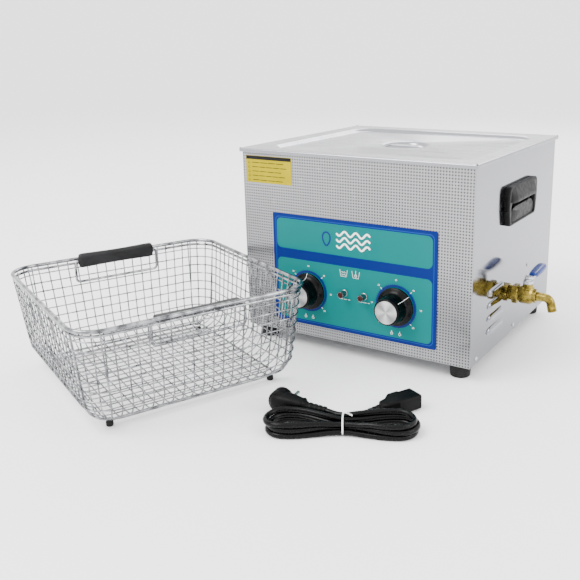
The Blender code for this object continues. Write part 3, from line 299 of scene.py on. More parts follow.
def hank_path():
    """The lead's middle line: from the connector through the waist seven times, round three
    lobes on each side, to the plug.  Each turn is then laid on the ones already down: where two
    runs are closer across than a cord's width, the upper one is lifted clear of the lower."""
    far, near = 1.0, -1.0
    waist = [(far, 0.0104), (near, 0.0104), (far, 0.0035), (near, 0.0035), (far, 0.0069), (near, 0.0069),
             (far, 0.0105)]
    lobes = [(0.0, 0.0), (0.0002, 0.0014), (0.0003, 0.0022), (0.0, -0.0004), (0.0, -0.0020),
             (0.0002, 0.0032)]
    ys = [sense * y for sense, y in waist]
    start = joined(CONNECTOR_TIP, (-0.80, -0.60), (-0.012, ys[0]), (-1.0, 0.05), 12)
    turns = []
    for k, (shrink, moved) in enumerate(lobes):
        turns.append(half_turn(-1.0 if k % 2 == 0 else 1.0, ys[k], ys[k + 1], shrink, moved))
    first, last = turns[0], turns[-1]
    turns[0] = first[first[:, 0] < -PAST_CONNECTOR]
    turns[-1] = last[last[:, 0] > PAST_PLUG]
    end = joined(turns[-1][-1] + (-0.004, -0.0006), (-1.0, -0.12), PLUG_TIP, (-0.934, 0.357), 12)
    flat = [start] + turns + [end]
    heights = []
    for k, run in enumerate(flat):
        z = CORD_D / 2.0 + 0.0001 + 0.0015 * np.exp(-(run[:, 0] / 0.015) ** 2)
        for under, under_z in zip(flat[:k], heights):
            gap = np.linalg.norm(run[:, None] - under[None], axis=2)
            if k > 0 and under is flat[k - 1]:
                index = np.arange(len(run))[:, None] + (len(under) - np.arange(len(under)))[None]
                gap = np.where(index < SAME_BEND, 1.0, gap)
            rest = under_z[None] + np.sqrt(np.clip(CORD_LAY ** 2 - gap ** 2, 0.0, None))
            z = np.maximum(z, np.where(gap < CORD_LAY, rest, 0.0).max(1))
        heights.append(z)
    path = np.concatenate([np.column_stack([run, z]) for run, z in zip(flat, heights)])
    for _ in range(3):
        path[1:-1, 2] = (path[:-2, 2] + 2.0 * path[1:-1, 2] + path[2:, 2]) / 4.0
    top = len(path)
    path[:, 2] += (CONNECTOR_Z - path[0, 2]) * (1.0 - eased(np.arange(top) / END_RISE))
    path[:, 2] += (PLUG_Z - path[-1, 2]) * (1.0 - eased(np.arange(top)[::-1] / END_RISE))
    return path


def evened(path, step):
    """The same line with points a step apart."""
    run = np.concatenate([[0.0], np.cumsum(np.linalg.norm(np.diff(path, axis=0), axis=1))])
    marks = np.linspace(0.0, run[-1], int(run[-1] / step))
    even = np.stack([np.interp(marks, run, path[:, k]) for k in range(3)], 1)
    for _ in range(3):
        even[1:-1] = (even[:-2] + 2.0 * even[1:-1] + even[2:]) / 4.0
    return even, float(run[-1])


# PVC sheath: extruded, black and faintly glossy, with a fine orange peel and dull scuffs.
sheath = surface("extruded_pvc_sheath", "#010101", 0.0, 0.24, grain=(160.0, 0.20, 0.34),
                 bump=(900.0, 0.25, 0.0001), Specular_IOR_Level=0.14)

# Moulded PVC: the same compound with a spark-eroded mould grain, so it is duller than the cord.
moulded_pvc = surface("moulded_pvc", "#020202", 0.0, 0.40, grain=(220.0, 0.36, 0.52),
                      bump=(1600.0, 0.35, 0.0001), Specular_IOR_Level=0.1)

lead_path, lead_length = evened(on_hank(hank_path()), 0.0022)
lead = piece("lead_cord", [loft(tube(lead_path, CORD_D / 2.0, 14, (0, 0, 1)))], sheath, "cleaner",
             ["cord_hank"], sharp=60.0)


def rounded_rect(half_a, half_b, corner, steps=8):
    """Points round a rectangle whose corners are quarter circles, counter-clockwise."""
    angle = (np.arange(4)[:, None] + np.linspace(0.0, 1.0, steps + 1)[None]) * math.pi / 2.0
    sign_a = np.array([1.0, -1.0, -1.0, 1.0])[:, None]
    sign_b = np.array([1.0, 1.0, -1.0, -1.0])[:, None]
    return np.stack([sign_a * (half_a - corner) + corner * np.cos(angle),
                     sign_b * (half_b - corner) + corner * np.sin(angle)], -1).reshape(-1, 2)


def along_line(start, way, sections):
    """Rings set square to a level line: each section is (distance, half width, half height,
    corner, and a lift if any), and its rounded rectangle stands at that distance."""
    way = np.asarray(way, float) / np.linalg.norm(way)
    side = np.array((-way[1], way[0], 0.0))
    rings = []
    for distance, half_w, half_h, corner, *lift in sections:
        flat = rounded_rect(half_w, half_h, corner, 5)
        up = np.array((0.0, 0.0, *(lift or [0.0])))
        middle = np.asarray(start) + np.append(way, 0.0) * distance + up
        rings.append(middle + flat[:, :1] * side + flat[:, 1:] * np.array((0.0, 0.0, 1.0)))
    return rings


def relief(length, low, high, ribs):
    """Sections of a ribbed strain relief: a taper from low to high with grooves cut in it."""
    mark = np.linspace(0.0, 1.0, ribs * 6 + 1)
    r = low + (high - low) * mark - 0.0009 * (np.sin(mark * ribs * math.tau) < -0.2)
    return [(length * t, w, w, w * 0.98) for t, w in zip(mark, r)]


connector_way = (CONNECTOR_END - CONNECTOR_TIP) / np.linalg.norm(CONNECTOR_END - CONNECTOR_TIP)
CONNECTOR_REACH = float(np.linalg.norm(CONNECTOR_END - CONNECTOR_TIP))
mouth = CONNECTOR_REACH - 0.0190
body_parts = relief(0.0240, 0.0045, 0.0062, 4) + [
    (0.0250, 0.0075, 0.0068, 0.0030), (0.0262, 0.0080, 0.0074, 0.0030),
    (0.0340, 0.0090, 0.0080, 0.0030), (0.0400, 0.0128, 0.0098, 0.0030),
    (0.0415, 0.0134, 0.0099, 0.0025), (mouth, 0.0134, 0.0099, 0.0025),
    (mouth + 0.0006, 0.0126, 0.0090, 0.0025), (CONNECTOR_REACH - 0.0006, 0.0126, 0.0090, 0.0025),
    (CONNECTOR_REACH, 0.0120, 0.0085, 0.0022), (CONNECTOR_REACH - 0.0004, 0.0108, 0.0074, 0.0018),
    (CONNECTOR_REACH - 0.0030, 0.0106, 0.0072, 0.0018)]
start3 = np.array((*CONNECTOR_TIP, CONNECTOR_Z))
connector = piece("lead_connector", [loft(on_hank(along_line(start3, connector_way, body_parts)))],
                  moulded_pvc, "cleaner", ["mains_connector"])
# Painted shade: three matte black blocks in the connector's end stand in for the shade inside its contact
# holes.
slots = []
for offset, lift in ((-0.0065, -0.0016), (0.0, 0.0018), (0.0065, -0.0016)):
    foot = start3 + np.array((-connector_way[1], connector_way[0], 0.0)) * offset
    slots.append(loft(on_hank(along_line(foot, connector_way, [
        (CONNECTOR_REACH - 0.0040, 0.0014, 0.0032, 0.0005, lift),
        (CONNECTOR_REACH - 0.0027, 0.0014, 0.0032, 0.0005, lift)]))))
hole_shade = surface("contact_hole_shade", "#020202", 0.0, 0.9)
slot_shade_piece = piece("lead_connector_slot_shades", slots, hole_shade, "cleaner")

plug_way = (PLUG_TIP - PLUG_END) / np.linalg.norm(PLUG_TIP - PLUG_END)
PLUG_REACH = float(np.linalg.norm(PLUG_TIP - PLUG_END))
turned_relief = [(PLUG_REACH - d, *size) for d, *size in relief(0.0240, 0.0046, 0.0062, 4)]
neck = [(0.0345, 0.0066, 0.0070, 0.0056), (0.0330, 0.0084, 0.0088, 0.0060),
        (0.0316, 0.0088, 0.0092, 0.0060), (0.0310, 0.0082, 0.0084, 0.0058),
        (0.0200, 0.0098, 0.0100, 0.0060), (0.0100, 0.0112, 0.0114, 0.0066),
        (0.0010, 0.0118, 0.0118, 0.0082), (-0.0048, 0.0110, 0.0107, 0.0090),
        (-0.0088, 0.0085, 0.0081, 0.0076), (-0.0106, 0.0045, 0.0043, 0.0041)]
plug_start = np.array((*PLUG_END, PLUG_Z))
grip = loft(on_hank(along_line(plug_start, plug_way, turned_relief + neck)))
away = np.array((-plug_way[1], plug_way[0]))
head_rings = along_line(plug_start, away, [(d, r, r, r - 0.0001) for d, r in (
    (-0.0060, 0.0098), (-0.0052, 0.0121), (-0.0030, 0.0135), (0.0000, 0.0138), (0.0022, 0.0138),
    (0.0026, 0.0130), (0.0040, 0.0130), (0.0044, 0.0138), (0.0060, 0.0138), (0.0064, 0.0130),
    (0.0078, 0.0130), (0.0082, 0.0138), (0.0113, 0.0138), (0.0125, 0.0129))])
plug = piece("lead_plug", [grip, loft(on_hank(head_rings))], moulded_pvc, "cleaner", ["mains_plug"])

# Nickel-plated brass pins, turned and bright.
pin_plate = surface("nickel_plated_brass", "#C9C6BF", 1.0, 0.18, grain=(700.0, 0.12, 0.26))
pins = []
for offset in (-0.0095, 0.0095):
    foot = plug_start + np.append(plug_way, 0.0) * offset
    pins.append(loft(on_hank(along_line(foot, away, [
        (d, r, r, r - 0.00001) for d, r in
        ((0.0110, 0.0024), (0.0305, 0.0024), (0.0313, 0.0018), (0.0315, 0.0008))]))))
pin_piece = piece("lead_plug_pins", pins, pin_plate, "cleaner")

# The tie: flat white PVC over a soft wire, wrapped once and twisted on top.
tie_pvc = surface("tie_pvc", "#F1F1EE", 0.0, 0.38, grain=(500.0, 0.30, 0.48))
loop = rounded_rect(0.0156, 0.0090, 0.0080, 10)
loop3 = np.stack([np.zeros(len(loop)), loop[:, 0] + 0.0006, loop[:, 1] + 0.0100], 1)
loop3[:, 0] += 0.0012 * np.sin(np.linspace(0.0, math.pi, len(loop)))
band = tube(on_hank(loop3), 0.0009, 8, (math.cos(HANK_TURN), math.sin(HANK_TURN), 0), closed=True)
twist_t = np.linspace(0.0, 1.0, 24)
twist = np.stack([0.0008 + 0.010 * twist_t, 0.0075 + 0.0006 * np.cos(twist_t * 22.0),
                  0.0196 - 0.0040 * twist_t ** 2 + 0.0006 * np.sin(twist_t * 22.0)], 1)
tie = piece("lead_tie", [loft(band, wrap=True), loft(tube(on_hank(twist), 0.0008, 8, (0, 0, 1)))],
            tie_pvc, "cleaner", ["cord_tie"])


# ---- Front sheet ----------------------------------------------------------------------------
# Stainless sheet rolled between patterned rollers, so that rows of small square pillows stand
# out of it.  It is folded at its edges and welded to the side sheets.
PITCH_WANTED = 0.0040
front_low, front_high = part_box("front_panel")


def pillow_sheet(low, high, pitch, stand_out):
    """A closed sheet whose face is a grid of pillows.  Each cell has grid lines at its valley
    and at both sides of its raised square, and the raised points stand out by stand_out.  The
    grid's rim is repeated at the back, and one flat face closes the back inside it."""
    cells_x = round((high.x - low.x) / pitch)
    cells_z = round((high.z - low.z) / pitch)
    stops = np.array([0.0, 0.36, 0.64])
    rise = np.array([0.0, 1.0, 1.0])

    def lines(count, start, end):
        u = (np.arange(count)[:, None] + stops[None]).ravel() / count
        return np.append(start + (end - start) * u, end), np.append(np.tile(rise, count), 0.0)

    xs, rise_x = lines(cells_x, low.x, high.x)
    zs, rise_z = lines(cells_z, low.z, high.z)
    gx, gz = np.meshgrid(xs, zs, indexing="ij")
    out = np.minimum.outer(rise_x, rise_z) * stand_out
    face = np.stack([gx, low.y - out, gz], -1)
    nx, nz = face.shape[:2]
    i, j = np.meshgrid(np.arange(nx - 1), np.arange(nz - 1), indexing="ij")
    quads = np.stack([i * nz + j, (i + 1) * nz + j, (i + 1) * nz + j + 1, i * nz + j + 1], -1)
    number = np.arange(nx * nz).reshape(nx, nz)
    rim = np.concatenate([number[:-1, 0], number[-1, :-1], number[:0:-1, -1], number[0, :0:-1]])
    points = face.reshape(-1, 3)
    back = points[rim] * (1.0, 0.0, 1.0) + (0.0, high.y, 0.0)
    behind = nx * nz + np.arange(len(rim))
    sides = np.stack([np.roll(rim, -1), rim, behind, np.roll(behind, -1)], 1)
    faces = quads.reshape(-1, 4).tolist() + sides.tolist() + [behind[::-1].tolist()]
    return np.concatenate([points, back]), faces


# Embossed stainless: a bright lattice, with each pillow's square painted darker as painted shade and
# reflection off its sloping sides.
# The darker squares are as wide as the pillows, 4 mm apart, so that the grain still shows at arm's
# length.
embossed, tree, shader, place = start_finish("embossed_stainless", "#D8D6D4", 1.0, 0.34)
cells_x = round((RIGHT - LEFT) / PITCH_WANTED)
cells_z = round((TOP - BASE) / PITCH_WANTED)
cell_x, cell_z = (RIGHT - LEFT) / cells_x, (TOP - BASE) / cells_z
split = add(tree, "ShaderNodeSeparateXYZ", inputs={0: place})


def cell_mask(tree, value, start, pitch, half):
    """1 within half a pitch share of each cell's middle along one axis, else 0."""
    cells = maths(tree, "DIVIDE", maths(tree, "SUBTRACT", value, start), pitch)
    off = maths(tree, "SUBTRACT", maths(tree, "FRACT", cells), 0.5)
    return maths(tree, "LESS_THAN", maths(tree, "ABSOLUTE", off), half)


# Painted shade: the mask below darkens each pillow's square in the base colour.
in_x = cell_mask(tree, split.outputs[0], LEFT, cell_x, 0.24)
in_z = cell_mask(tree, split.outputs[2], BASE, cell_z, 0.24)
painted_pillow_shade = maths(tree, "MULTIPLY", in_x, in_z)
tinted(tree, shader, painted_pillow_shade, "#9B9B9D", "#38393B")
tree.links.new(vary(tree, place, 60.0, 0.26, 0.44), shader.inputs["Roughness"])

sheet_face = pillow_sheet(front_low, front_high, PITCH_WANTED, 0.00022)
piece("front_sheet", [sheet_face], embossed, "cleaner", ["front_panel"],
      sharp=80.0, facing=False)

# ---- Side, back and base sheets --------------------------------------------------------------
# Bright-annealed stainless, bent and spot-welded, with four pressed louvres low on each side,
# a fan grille in the back, and the edges held by small pan-head screws.
def paint(finish, *names):
    """Gives fixed nodes that keep their own meshes a finish."""
    for name in names:
        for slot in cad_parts[name].material_slots:
            slot.material = finish


polished = surface("bright_annealed_stainless", "#86878D", 1.0, 0.12,
                   grain=(90.0, 0.07, 0.15, (1.0, 0.06, 1.0)), bump=(9.0, 0.10, 0.0015, 1.0))
paint(polished, "right_side_panel", "left_side_panel", "back_panel", "base_plate")

LOUVRE_COUNT, LOUVRE_PITCH, LOUVRE_UP = 4, 0.0178, 0.0285
LOUVRE_FROM, LOUVRE_LEN, LOUVRE_H, LOUVRE_PROUD = 0.058, 0.054, 0.0085, 0.0036


def louvre(face_x, side, z):
    """A pressed hood: half a capsule that swells out of the sheet above its slot.  Its height
    follows a half sine across and flattens along its length except at its rounded ends."""
    u = np.linspace(0.0, 1.0, 25)
    v = np.linspace(0.0, 1.0, 9)
    gu, gv = np.meshgrid(u, v, indexing="ij")
    end = np.sqrt(np.clip(1.0 - (2.0 * gu - 1.0) ** 12, 0.0, 1.0))
    out = LOUVRE_PROUD * end * np.cos(gv * math.pi / 2.0) ** 0.7
    up = z - 0.0014 + LOUVRE_H * gv * (0.35 + 0.65 * end)
    outer = np.stack([face_x + side * (out + 0.00012), FRONT + LOUVRE_FROM + LOUVRE_LEN * gu, up], -1)
    inner = outer - np.array((side * 0.0008, 0.0, 0.0)) * np.minimum(1.0, out / 0.0008)[..., None]
    ring = np.concatenate([outer, inner[:, ::-1]], axis=1)
    return loft(ring)


for side, face_x, word in ((1.0, RIGHT, "right"), (-1.0, LEFT, "left")):
    hoods = [louvre(face_x, side, BASE + LOUVRE_UP + k * LOUVRE_PITCH) for k in range(LOUVRE_COUNT)]
    piece(f"louvre_hoods_{word}", hoods, polished, "cleaner", sharp=50.0)


def turned(profile, sides=48, flats=None):
    """Rings of an outline (radius, height) turned round Z.  flats is half the size across a
    hexagon's flats: each ring is then no wider than the hexagon at that angle."""
    angle = np.arange(sides) * math.tau / sides
    outline = np.asarray(profile, float)
    reach = np.repeat(outline[:, :1], sides, 1)
    if flats:
        sixth = np.mod(angle, math.pi / 3.0) - math.pi / 6.0
        reach = np.minimum(reach, flats / np.cos(sixth)[None])
    height = np.repeat(outline[:, 1:], sides, 1)
    return np.stack([reach * np.cos(angle), reach * np.sin(angle), height], -1)


def facing(rings, axis, at):
    """Rings drawn round Z, turned so that their Z points along another axis, and moved."""
    x, y, z = rings[..., 0], rings[..., 1], rings[..., 2]
    parts = {"X": (z, x, y), "-X": (-z, -x, y), "-Y": (x, -z, y), "Y": (-x, z, y), "Z": (x, y, z)}[axis]
    return np.stack(parts, -1) + np.asarray(at, float)


def lathe(profile, sides, axis, at, wrap=False, flats=None):
    """A turned shape from its outline, set along an axis at a place."""
    return loft(facing(turned(profile, sides, flats), axis, at), wrap=wrap)


def screw(axis, at, r=0.0029):
    """A pan head with a cross recess shown as a dished middle."""
    outline = [(r, 0.0), (r, 0.0007), (r * 0.86, 0.0014), (r * 0.45, 0.0018), (r * 0.30, 0.0010),
               (r * 0.05, 0.0009)]
    return lathe(outline, 20, axis, at)


screws = []
for z in (0.0660, 0.0835):
    screws.append(screw("X", (RIGHT, FRONT + 0.217, BASE + z), 0.0022))
for face_x, axis in ((RIGHT, "X"), (LEFT, "-X")):
    for y in (BACK - 0.010, MID_Y, FRONT + 0.020):
        screws.append(screw(axis, (face_x, y, BASE + 0.0075)))
for x in (LEFT + 0.012, MID_X, RIGHT - 0.012):
    for z in (BASE + 0.010, BASE + 0.130, TOP - 0.012):
        screws.append(screw("Y", (x, BACK, z)))
screw_steel = surface("zinc_plated_screws", "#B9BCC0", 1.0, 0.26, grain=(400.0, 0.20, 0.38))
piece("case_screws", screws, screw_steel, "cleaner")

fan_x, _, fan_z = centre("fan_frame")
fan_at = (fan_x, BACK + 0.0016, fan_z)
grille = []
for r in (0.0100, 0.0180, 0.0260, 0.0340, 0.0400):
    angle = np.arange(64) * math.tau / 64
    ring = np.stack([fan_at[0] + r * np.cos(angle), np.full(64, fan_at[1]),
                     fan_at[2] + r * np.sin(angle)], 1)
    grille.append(loft(tube(ring, 0.0009, 8, (0, 1, 0), closed=True), wrap=True))
for k in range(4):
    a = math.pi / 4.0 + k * math.pi / 2.0
    t = np.linspace(0.010, 0.0495, 8)
    spoke = np.stack([fan_at[0] + t * math.cos(a), np.full(8, fan_at[1] + 0.0012),
                      fan_at[2] + t * math.sin(a)], 1)
    grille.append(loft(tube(spoke, 0.0010, 8, (0, 1, 0))))
    grille.append(screw("Y", (fan_at[0] + 0.0495 * math.cos(a), BACK, fan_at[2] + 0.0495 * math.sin(a))))
piece("fan_grille", grille, screw_steel, "cleaner")


# ---- Tank and lid ----------------------------------------------------------------------------
# The tank is deep-drawn stainless with a flange that lies on the case.  The loose lid is one
# pressed sheet: a rolled lip over the flange, a flat band, a sunk middle and a hand dish.
def level(line, z):
    """A flat outline at one height."""
    return np.column_stack([line, np.full(len(line), z)])


def drawn_rings(rows, steps=10):
    """Rings for a pressed sheet: each row is (half width, half depth, corner radius, height)."""
    return [level(rounded_rect(*row[:3], steps) + (MID_X, MID_Y), row[3]) for row in rows]


def around(half_a, half_b, rows):
    """Rows for a pressed sheet from (distance out from one rectangle, corner radius, height)."""
    return [(half_a + out, half_b + out, corner, z) for out, corner, z in rows]


tank_low, tank_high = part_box("tank")
SHEET = 0.0010
TANK_A, TANK_B, TANK_R, TANK_F = 0.1650, 0.1500, 0.026, 0.010
floor_z, flange_z = tank_low.z + SHEET, tank_high.z
fillet = np.linspace(0.0, math.pi / 2.0, 7)


def tank_skin(d):
    """The tank's inner face pushed outwards by d: floor, rounding, wall, flange."""
    rows = [(-TANK_F - 0.004, TANK_R - TANK_F, floor_z - d)]
    for a in fillet:
        out = (TANK_F + d) * math.sin(a) - TANK_F
        rows.append((out, TANK_R + out, floor_z + TANK_F - (TANK_F + d) * math.cos(a)))
    edge_a, edge_b, _ = half_size("tank")
    rows += [(d, TANK_R + d, flange_z - 0.0025 - d), (0.0012, TANK_R + 0.001, flange_z - d)]
    return around(TANK_A, TANK_B, rows) + around(edge_a, edge_b, [(-d * 0.3, 0.004, flange_z - d)])


tank_steel = surface("drawn_stainless", "#96979A", 1.0, 0.24, grain=(40.0, 0.18, 0.34),
                     bump=(500.0, 0.12, 0.0002))
tank_rings = drawn_rings(tank_skin(0.0) + tank_skin(SHEET)[::-1])
piece("tank_shell", [loft(tank_rings)], tank_steel, "cleaner", ["tank"], sharp=50.0)

lid_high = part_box("lid")[1]
LID_A, LID_B, _ = half_size("lid")
lid_top, lid_under = lid_high.z, lid_high.z - 0.0050
SUNK_A, SUNK_B, SUNK_R = TANK_A - 0.0162, TANK_B - 0.0162, 0.030
sunk_z = lid_top - 0.0052
DISH_R = 0.0350
dish_z = sunk_z - 0.0090


def lid_skin(d):
    """The lid's top face pushed down by d, from the dish's middle out to the lip."""
    rows = [(0.0080, 0.0080, 0.00799, dish_z - d)]
    for out, z in ((-0.0110, dish_z), (-0.0070, dish_z + 0.0004), (-0.0040, dish_z + 0.0022),
                   (-0.0016, sunk_z - 0.0022), (-0.0002, sunk_z - 0.0006), (0.0022, sunk_z)):
        r = DISH_R + out + d * 0.6
        rows.append((r, r, r * 0.999, z - d * 0.8))
    wall = d * 0.6                    # a steep wall is pushed outwards as well as down
    rows += around(SUNK_A, SUNK_B, [
        (-0.0045, SUNK_R - 0.003, sunk_z - d), (-0.0018, SUNK_R - 0.001, sunk_z + 0.0006 - d),
        (wall, SUNK_R, sunk_z + 0.0020 - d * 0.7),
        (0.0014 + wall, SUNK_R + 0.001, lid_top - 0.0016 - d * 0.7),
        (0.0034, SUNK_R + 0.003, lid_top - 0.0006 - d), (0.0070, SUNK_R + 0.004, lid_top - 0.0004 - d)])
    lip = 0.0021
    edge = [(-0.0050, 0.0030, lid_top - 0.0002 - d)]
    edge += [((lip - d) * math.sin(a) - lip, 0.0032, lid_top - lip + (lip - d) * math.cos(a))
             for a in np.linspace(0.15, math.pi / 2.0, 6)]
    return rows + around(LID_A, LID_B, edge + [(-d, 0.0032, lid_under)])


lid_steel = surface("pressed_stainless", "#96979C", 1.0, 0.24, grain=(55.0, 0.17, 0.30, (0.1, 1.0, 1.0)),
                    bump=(10.0, 0.08, 0.001, 1.0))
lid_rings = drawn_rings(lid_skin(0.0) + lid_skin(0.0008)[::-1], 12)
piece("lid_sheet", [loft(lid_rings)], lid_steel, "lid", ["lid"], sharp=50.0)

pull_low, pull_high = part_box("lid_pull")
PULL_HALF, PULL_HALF_Y, _ = half_size("lid_pull")
PULL_T = 0.0016
u = np.linspace(-1.0, 1.0, 41)
drop = (pull_high.z - pull_low.z - PULL_T) * eased((np.abs(u) - 0.72) / 0.28)
section = rounded_rect(PULL_HALF_Y, PULL_T / 2.0, 0.0007, 4)
strap = np.stack([np.broadcast_to((MID_X + PULL_HALF * u)[:, None], (41, len(section))),
                  np.broadcast_to(MID_Y + section[None, :, 0], (41, len(section))),
                  (pull_high.z - PULL_T / 2.0 - drop)[:, None] + section[None, :, 1]], -1)
piece("lid_strap", [loft(strap)], lid_steel, "lid", ["lid_pull"], sharp=50.0)

# Painted shade: a small dark stud at each corner of the lid stands in for the shadowed gap where the
# folded lips meet.
corner_gap_shades = []
for sx in (-1.0, 1.0):
    for sy in (-1.0, 1.0):
        at = (MID_X + sx * (LID_A - 0.0021), MID_Y + sy * (LID_B - 0.0021), lid_top - 0.0012)
        corner_gap_shades.append(lathe([(0.0013, 0.0), (0.0013, 0.0012), (0.0009, 0.0015)], 16, "Z", at))
shadow = surface("painted_lip_gap_shade", "#0A0A0A", 0.3, 0.6)
piece("lid_corner_gap_shades", corner_gap_shades, shadow, "lid")


# ---- Control panel ---------------------------------------------------------------------------
# A printed polycarbonate overlay, stuck on the front sheet: blue ground, two teal fields with
# round corners, white dial marks.  A plain wave mark stands where a maker would print a name.
panel_low, panel_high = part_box("control_panel")
PANEL_A, _, PANEL_B = half_size("control_panel")
panel_mid = centre("control_panel")[::2]
panel_face = panel_low.y


def field_mask(tree, split, middle, half, corner):
    """1 inside a rounded rectangle in X and Z: the distance outside its core is compared with
    the corner radius."""
    parts = []
    for output, place, size in zip((split.outputs[0], split.outputs[2]), middle, half):
        away = maths(tree, "ABSOLUTE", maths(tree, "SUBTRACT", output, place))
        past = maths(tree, "SUBTRACT", away, size - corner)
        parts.append(maths(tree, "MAXIMUM", past, 0.0))
    far = add(tree, "ShaderNodeCombineXYZ", inputs={0: parts[0], 1: parts[1]}).outputs[0]
    length = add(tree, "ShaderNodeVectorMath", {"operation": "LENGTH"}, {0: far}).outputs["Value"]
    return maths(tree, "LESS_THAN", length, corner)


overlay, tree, shader, place = start_finish("printed_polycarbonate", "#031C62", 0.0, 0.36,
                                            Specular_IOR_Level=0.1)
split = add(tree, "ShaderNodeSeparateXYZ", inputs={0: place})
stripe_low, stripe_high = BASE + 0.1110, BASE + 0.1250
FIELD_IN = 0.0066                     # the teal fields' edge in from the overlay's
layers = [(panel_mid, (PANEL_A - 0.0042, PANEL_B - 0.0042), 0.0070, "#0F4390"),
          (panel_mid, (PANEL_A - 0.0050, PANEL_B - 0.0050), 0.0064, "#031C62")]
for low_z, high_z in ((stripe_high, panel_high.z - FIELD_IN), (panel_low.z + FIELD_IN, stripe_low)):
    layers.append(((panel_mid[0], (low_z + high_z) / 2.0), (PANEL_A - FIELD_IN, (high_z - low_z) / 2.0),
                   0.0075, "#006664"))
colour = linear("#031C62")
for middle, half, corner, code in layers:
    mask = field_mask(tree, split, middle, half, corner)
    colour = add(tree, "ShaderNodeMix", {"data_type": "RGBA"},
                 {0: mask, 6: colour, 7: linear(code)}).outputs[2]
tree.links.new(colour, shader.inputs["Base Color"])
tree.links.new(vary(tree, place, 120.0, 0.30, 0.44), shader.inputs["Roughness"])
bumped(tree, shader, vary(tree, place, 1500.0, 0.0, 1.0), 0.12, 0.0001)
outline = rounded_rect(PANEL_A, PANEL_B, 0.0025, 6)


def plate_rings(outline, middle, back_y, front_y, edge):
    """A thin plate standing in X and Z with a softened front edge."""
    rings = []
    for y, inset in ((back_y, 0.0), (front_y + edge, 0.0), (front_y, edge)):
        shrink = 1.0 - inset / np.abs(outline).max(0)
        flat = outline * shrink
        rings.append(np.column_stack([middle[0] + flat[:, 0], np.full(len(flat), y),
                                      middle[1] + flat[:, 1]]))
    return rings


plate = plate_rings(outline, panel_mid, panel_high.y, panel_face, 0.0002)
piece("control_overlay", [loft(plate)], overlay, "cleaner", ["control_panel"])
INK = 0.00006                         # how far printed ink stands off the face


def ribbon(points, width, face_y):
    """A printed line: a flat strip of one width along points in X and Z, just off a face."""
    points = np.asarray(points, float)
    ahead = np.gradient(points, axis=0)
    ahead /= np.linalg.norm(ahead, axis=1, keepdims=True)
    side = np.stack([-ahead[:, 1], ahead[:, 0]], 1) * width / 2.0
    edges = np.stack([points + side, points - side], 1)
    strip = np.stack([edges[..., 0], np.full(edges.shape[:2], face_y - INK), edges[..., 1]], -1)
    back = strip + np.array((0.0, INK * 0.8, 0.0))
    return loft(np.concatenate([strip, back[:, ::-1]], 1))


def arc(middle, r, start, end, count=24):
    """Points on a circle in X and Z, with angles in degrees clockwise from straight up."""
    a = np.radians(np.linspace(start, end, count))
    return np.stack([middle[0] + r * np.sin(a), middle[1] + r * np.cos(a)], 1)


white_ink = surface("white_screen_ink", "#F4F7F6", 0.0, 0.45, grain=(900.0, 0.38, 0.55))
blue_ink = surface("blue_screen_ink", "#031C62", 0.0, 0.42, grain=(900.0, 0.36, 0.50),
                   Specular_IOR_Level=0.2)


def print_line(lines, points, width):
    """Adds a printed line on the overlay's face to a list of shapes."""
    lines.append(ribbon(points, width, panel_face))


dials = {word: centre(f"{word}_knob")[::2] for word in ("thermostat", "timer")}
white_lines, blue_lines, numbers = [], [], []
for word, middle in dials.items():
    print_line(blue_lines, arc(middle, 0.0281, 0, 360, 73), 0.0034)
    for angle in np.linspace(-135.0, 135.0, 46):
        short = 0.0018 if round(angle + 135.0) % 45 else 0.0030
        spoke = [arc(middle, 0.0294, angle, angle, 1)[0], arc(middle, 0.0294 + short, angle, angle, 1)[0]]
        print_line(white_lines if short > 0.002 else blue_lines, spoke, 0.0006)
    for k, angle in enumerate(np.linspace(-135.0, 135.0, 7)):
        numbers.append((str(k * 10), arc(middle, 0.0362, angle, angle, 1)[0]))
    for k in range(2):
        mark = (middle[0] - 0.006 + 0.012 * k, middle[1] - 0.0385)
        print_line(white_lines, arc(mark, 0.0016, 0, 360, 25), 0.0005)
        print_line(white_lines, [(mark[0], mark[1] + 0.0016), (mark[0], mark[1] + 0.0042)], 0.0005)
for k in range(3):
    t = np.linspace(-1.0, 1.0, 41)
    wave = np.stack([panel_mid[0] + 0.004 + 0.026 * t,
                     BASE + 0.1560 - 0.0085 * k + 0.0032 * np.sin(t * 9.4)], 1)
    print_line(white_lines, wave, 0.0026)
t = np.linspace(0.0, math.tau, 41)
drop_x, drop_z = panel_mid[0] - 0.038, BASE + 0.1460
drop = np.stack([drop_x + 0.0070 * np.sin(t) * np.sin(t / 2.0) ** 0.5, drop_z - 0.0095 * np.cos(t)], 1)
print_line(blue_lines, drop, 0.0024)
lamp_mid = {word: centre(f"{word}_bezel")[::2] for word in ("heating_lamp", "working_lamp")}
for x, z in lamp_mid.values():
    for start, end in ((-0.0085, -0.0030), (-0.0015, 0.0035), (0.0050, 0.0085)):
        print_line(white_lines, [(x + start, z - 0.0090), (x + end, z - 0.0090)], 0.0005)
for k, x in enumerate((LEFT + 0.1650, LEFT + 0.1840)):
    z = BASE + 0.1010
    cup = [(x - 0.0060, z + 0.0050), (x - 0.0042, z - 0.0045), (x + 0.0042, z - 0.0045),
           (x + 0.0060, z + 0.0050)]
    print_line(white_lines, cup, 0.0005)
    if k:
        print_line(white_lines, arc((x, z - 0.0012), 0.0016, 0, 360, 21), 0.0005)
        print_line(white_lines, [(x, z), (x, z + 0.0062)], 0.0005)
    else:
        s = np.linspace(-1.0, 1.0, 25)
        for lift in (-0.0018, 0.0016):
            curl = np.stack([x + 0.0034 * s, z + lift + 0.0008 * np.sin(s * 6.3)], 1)
            print_line(white_lines, curl, 0.0004)
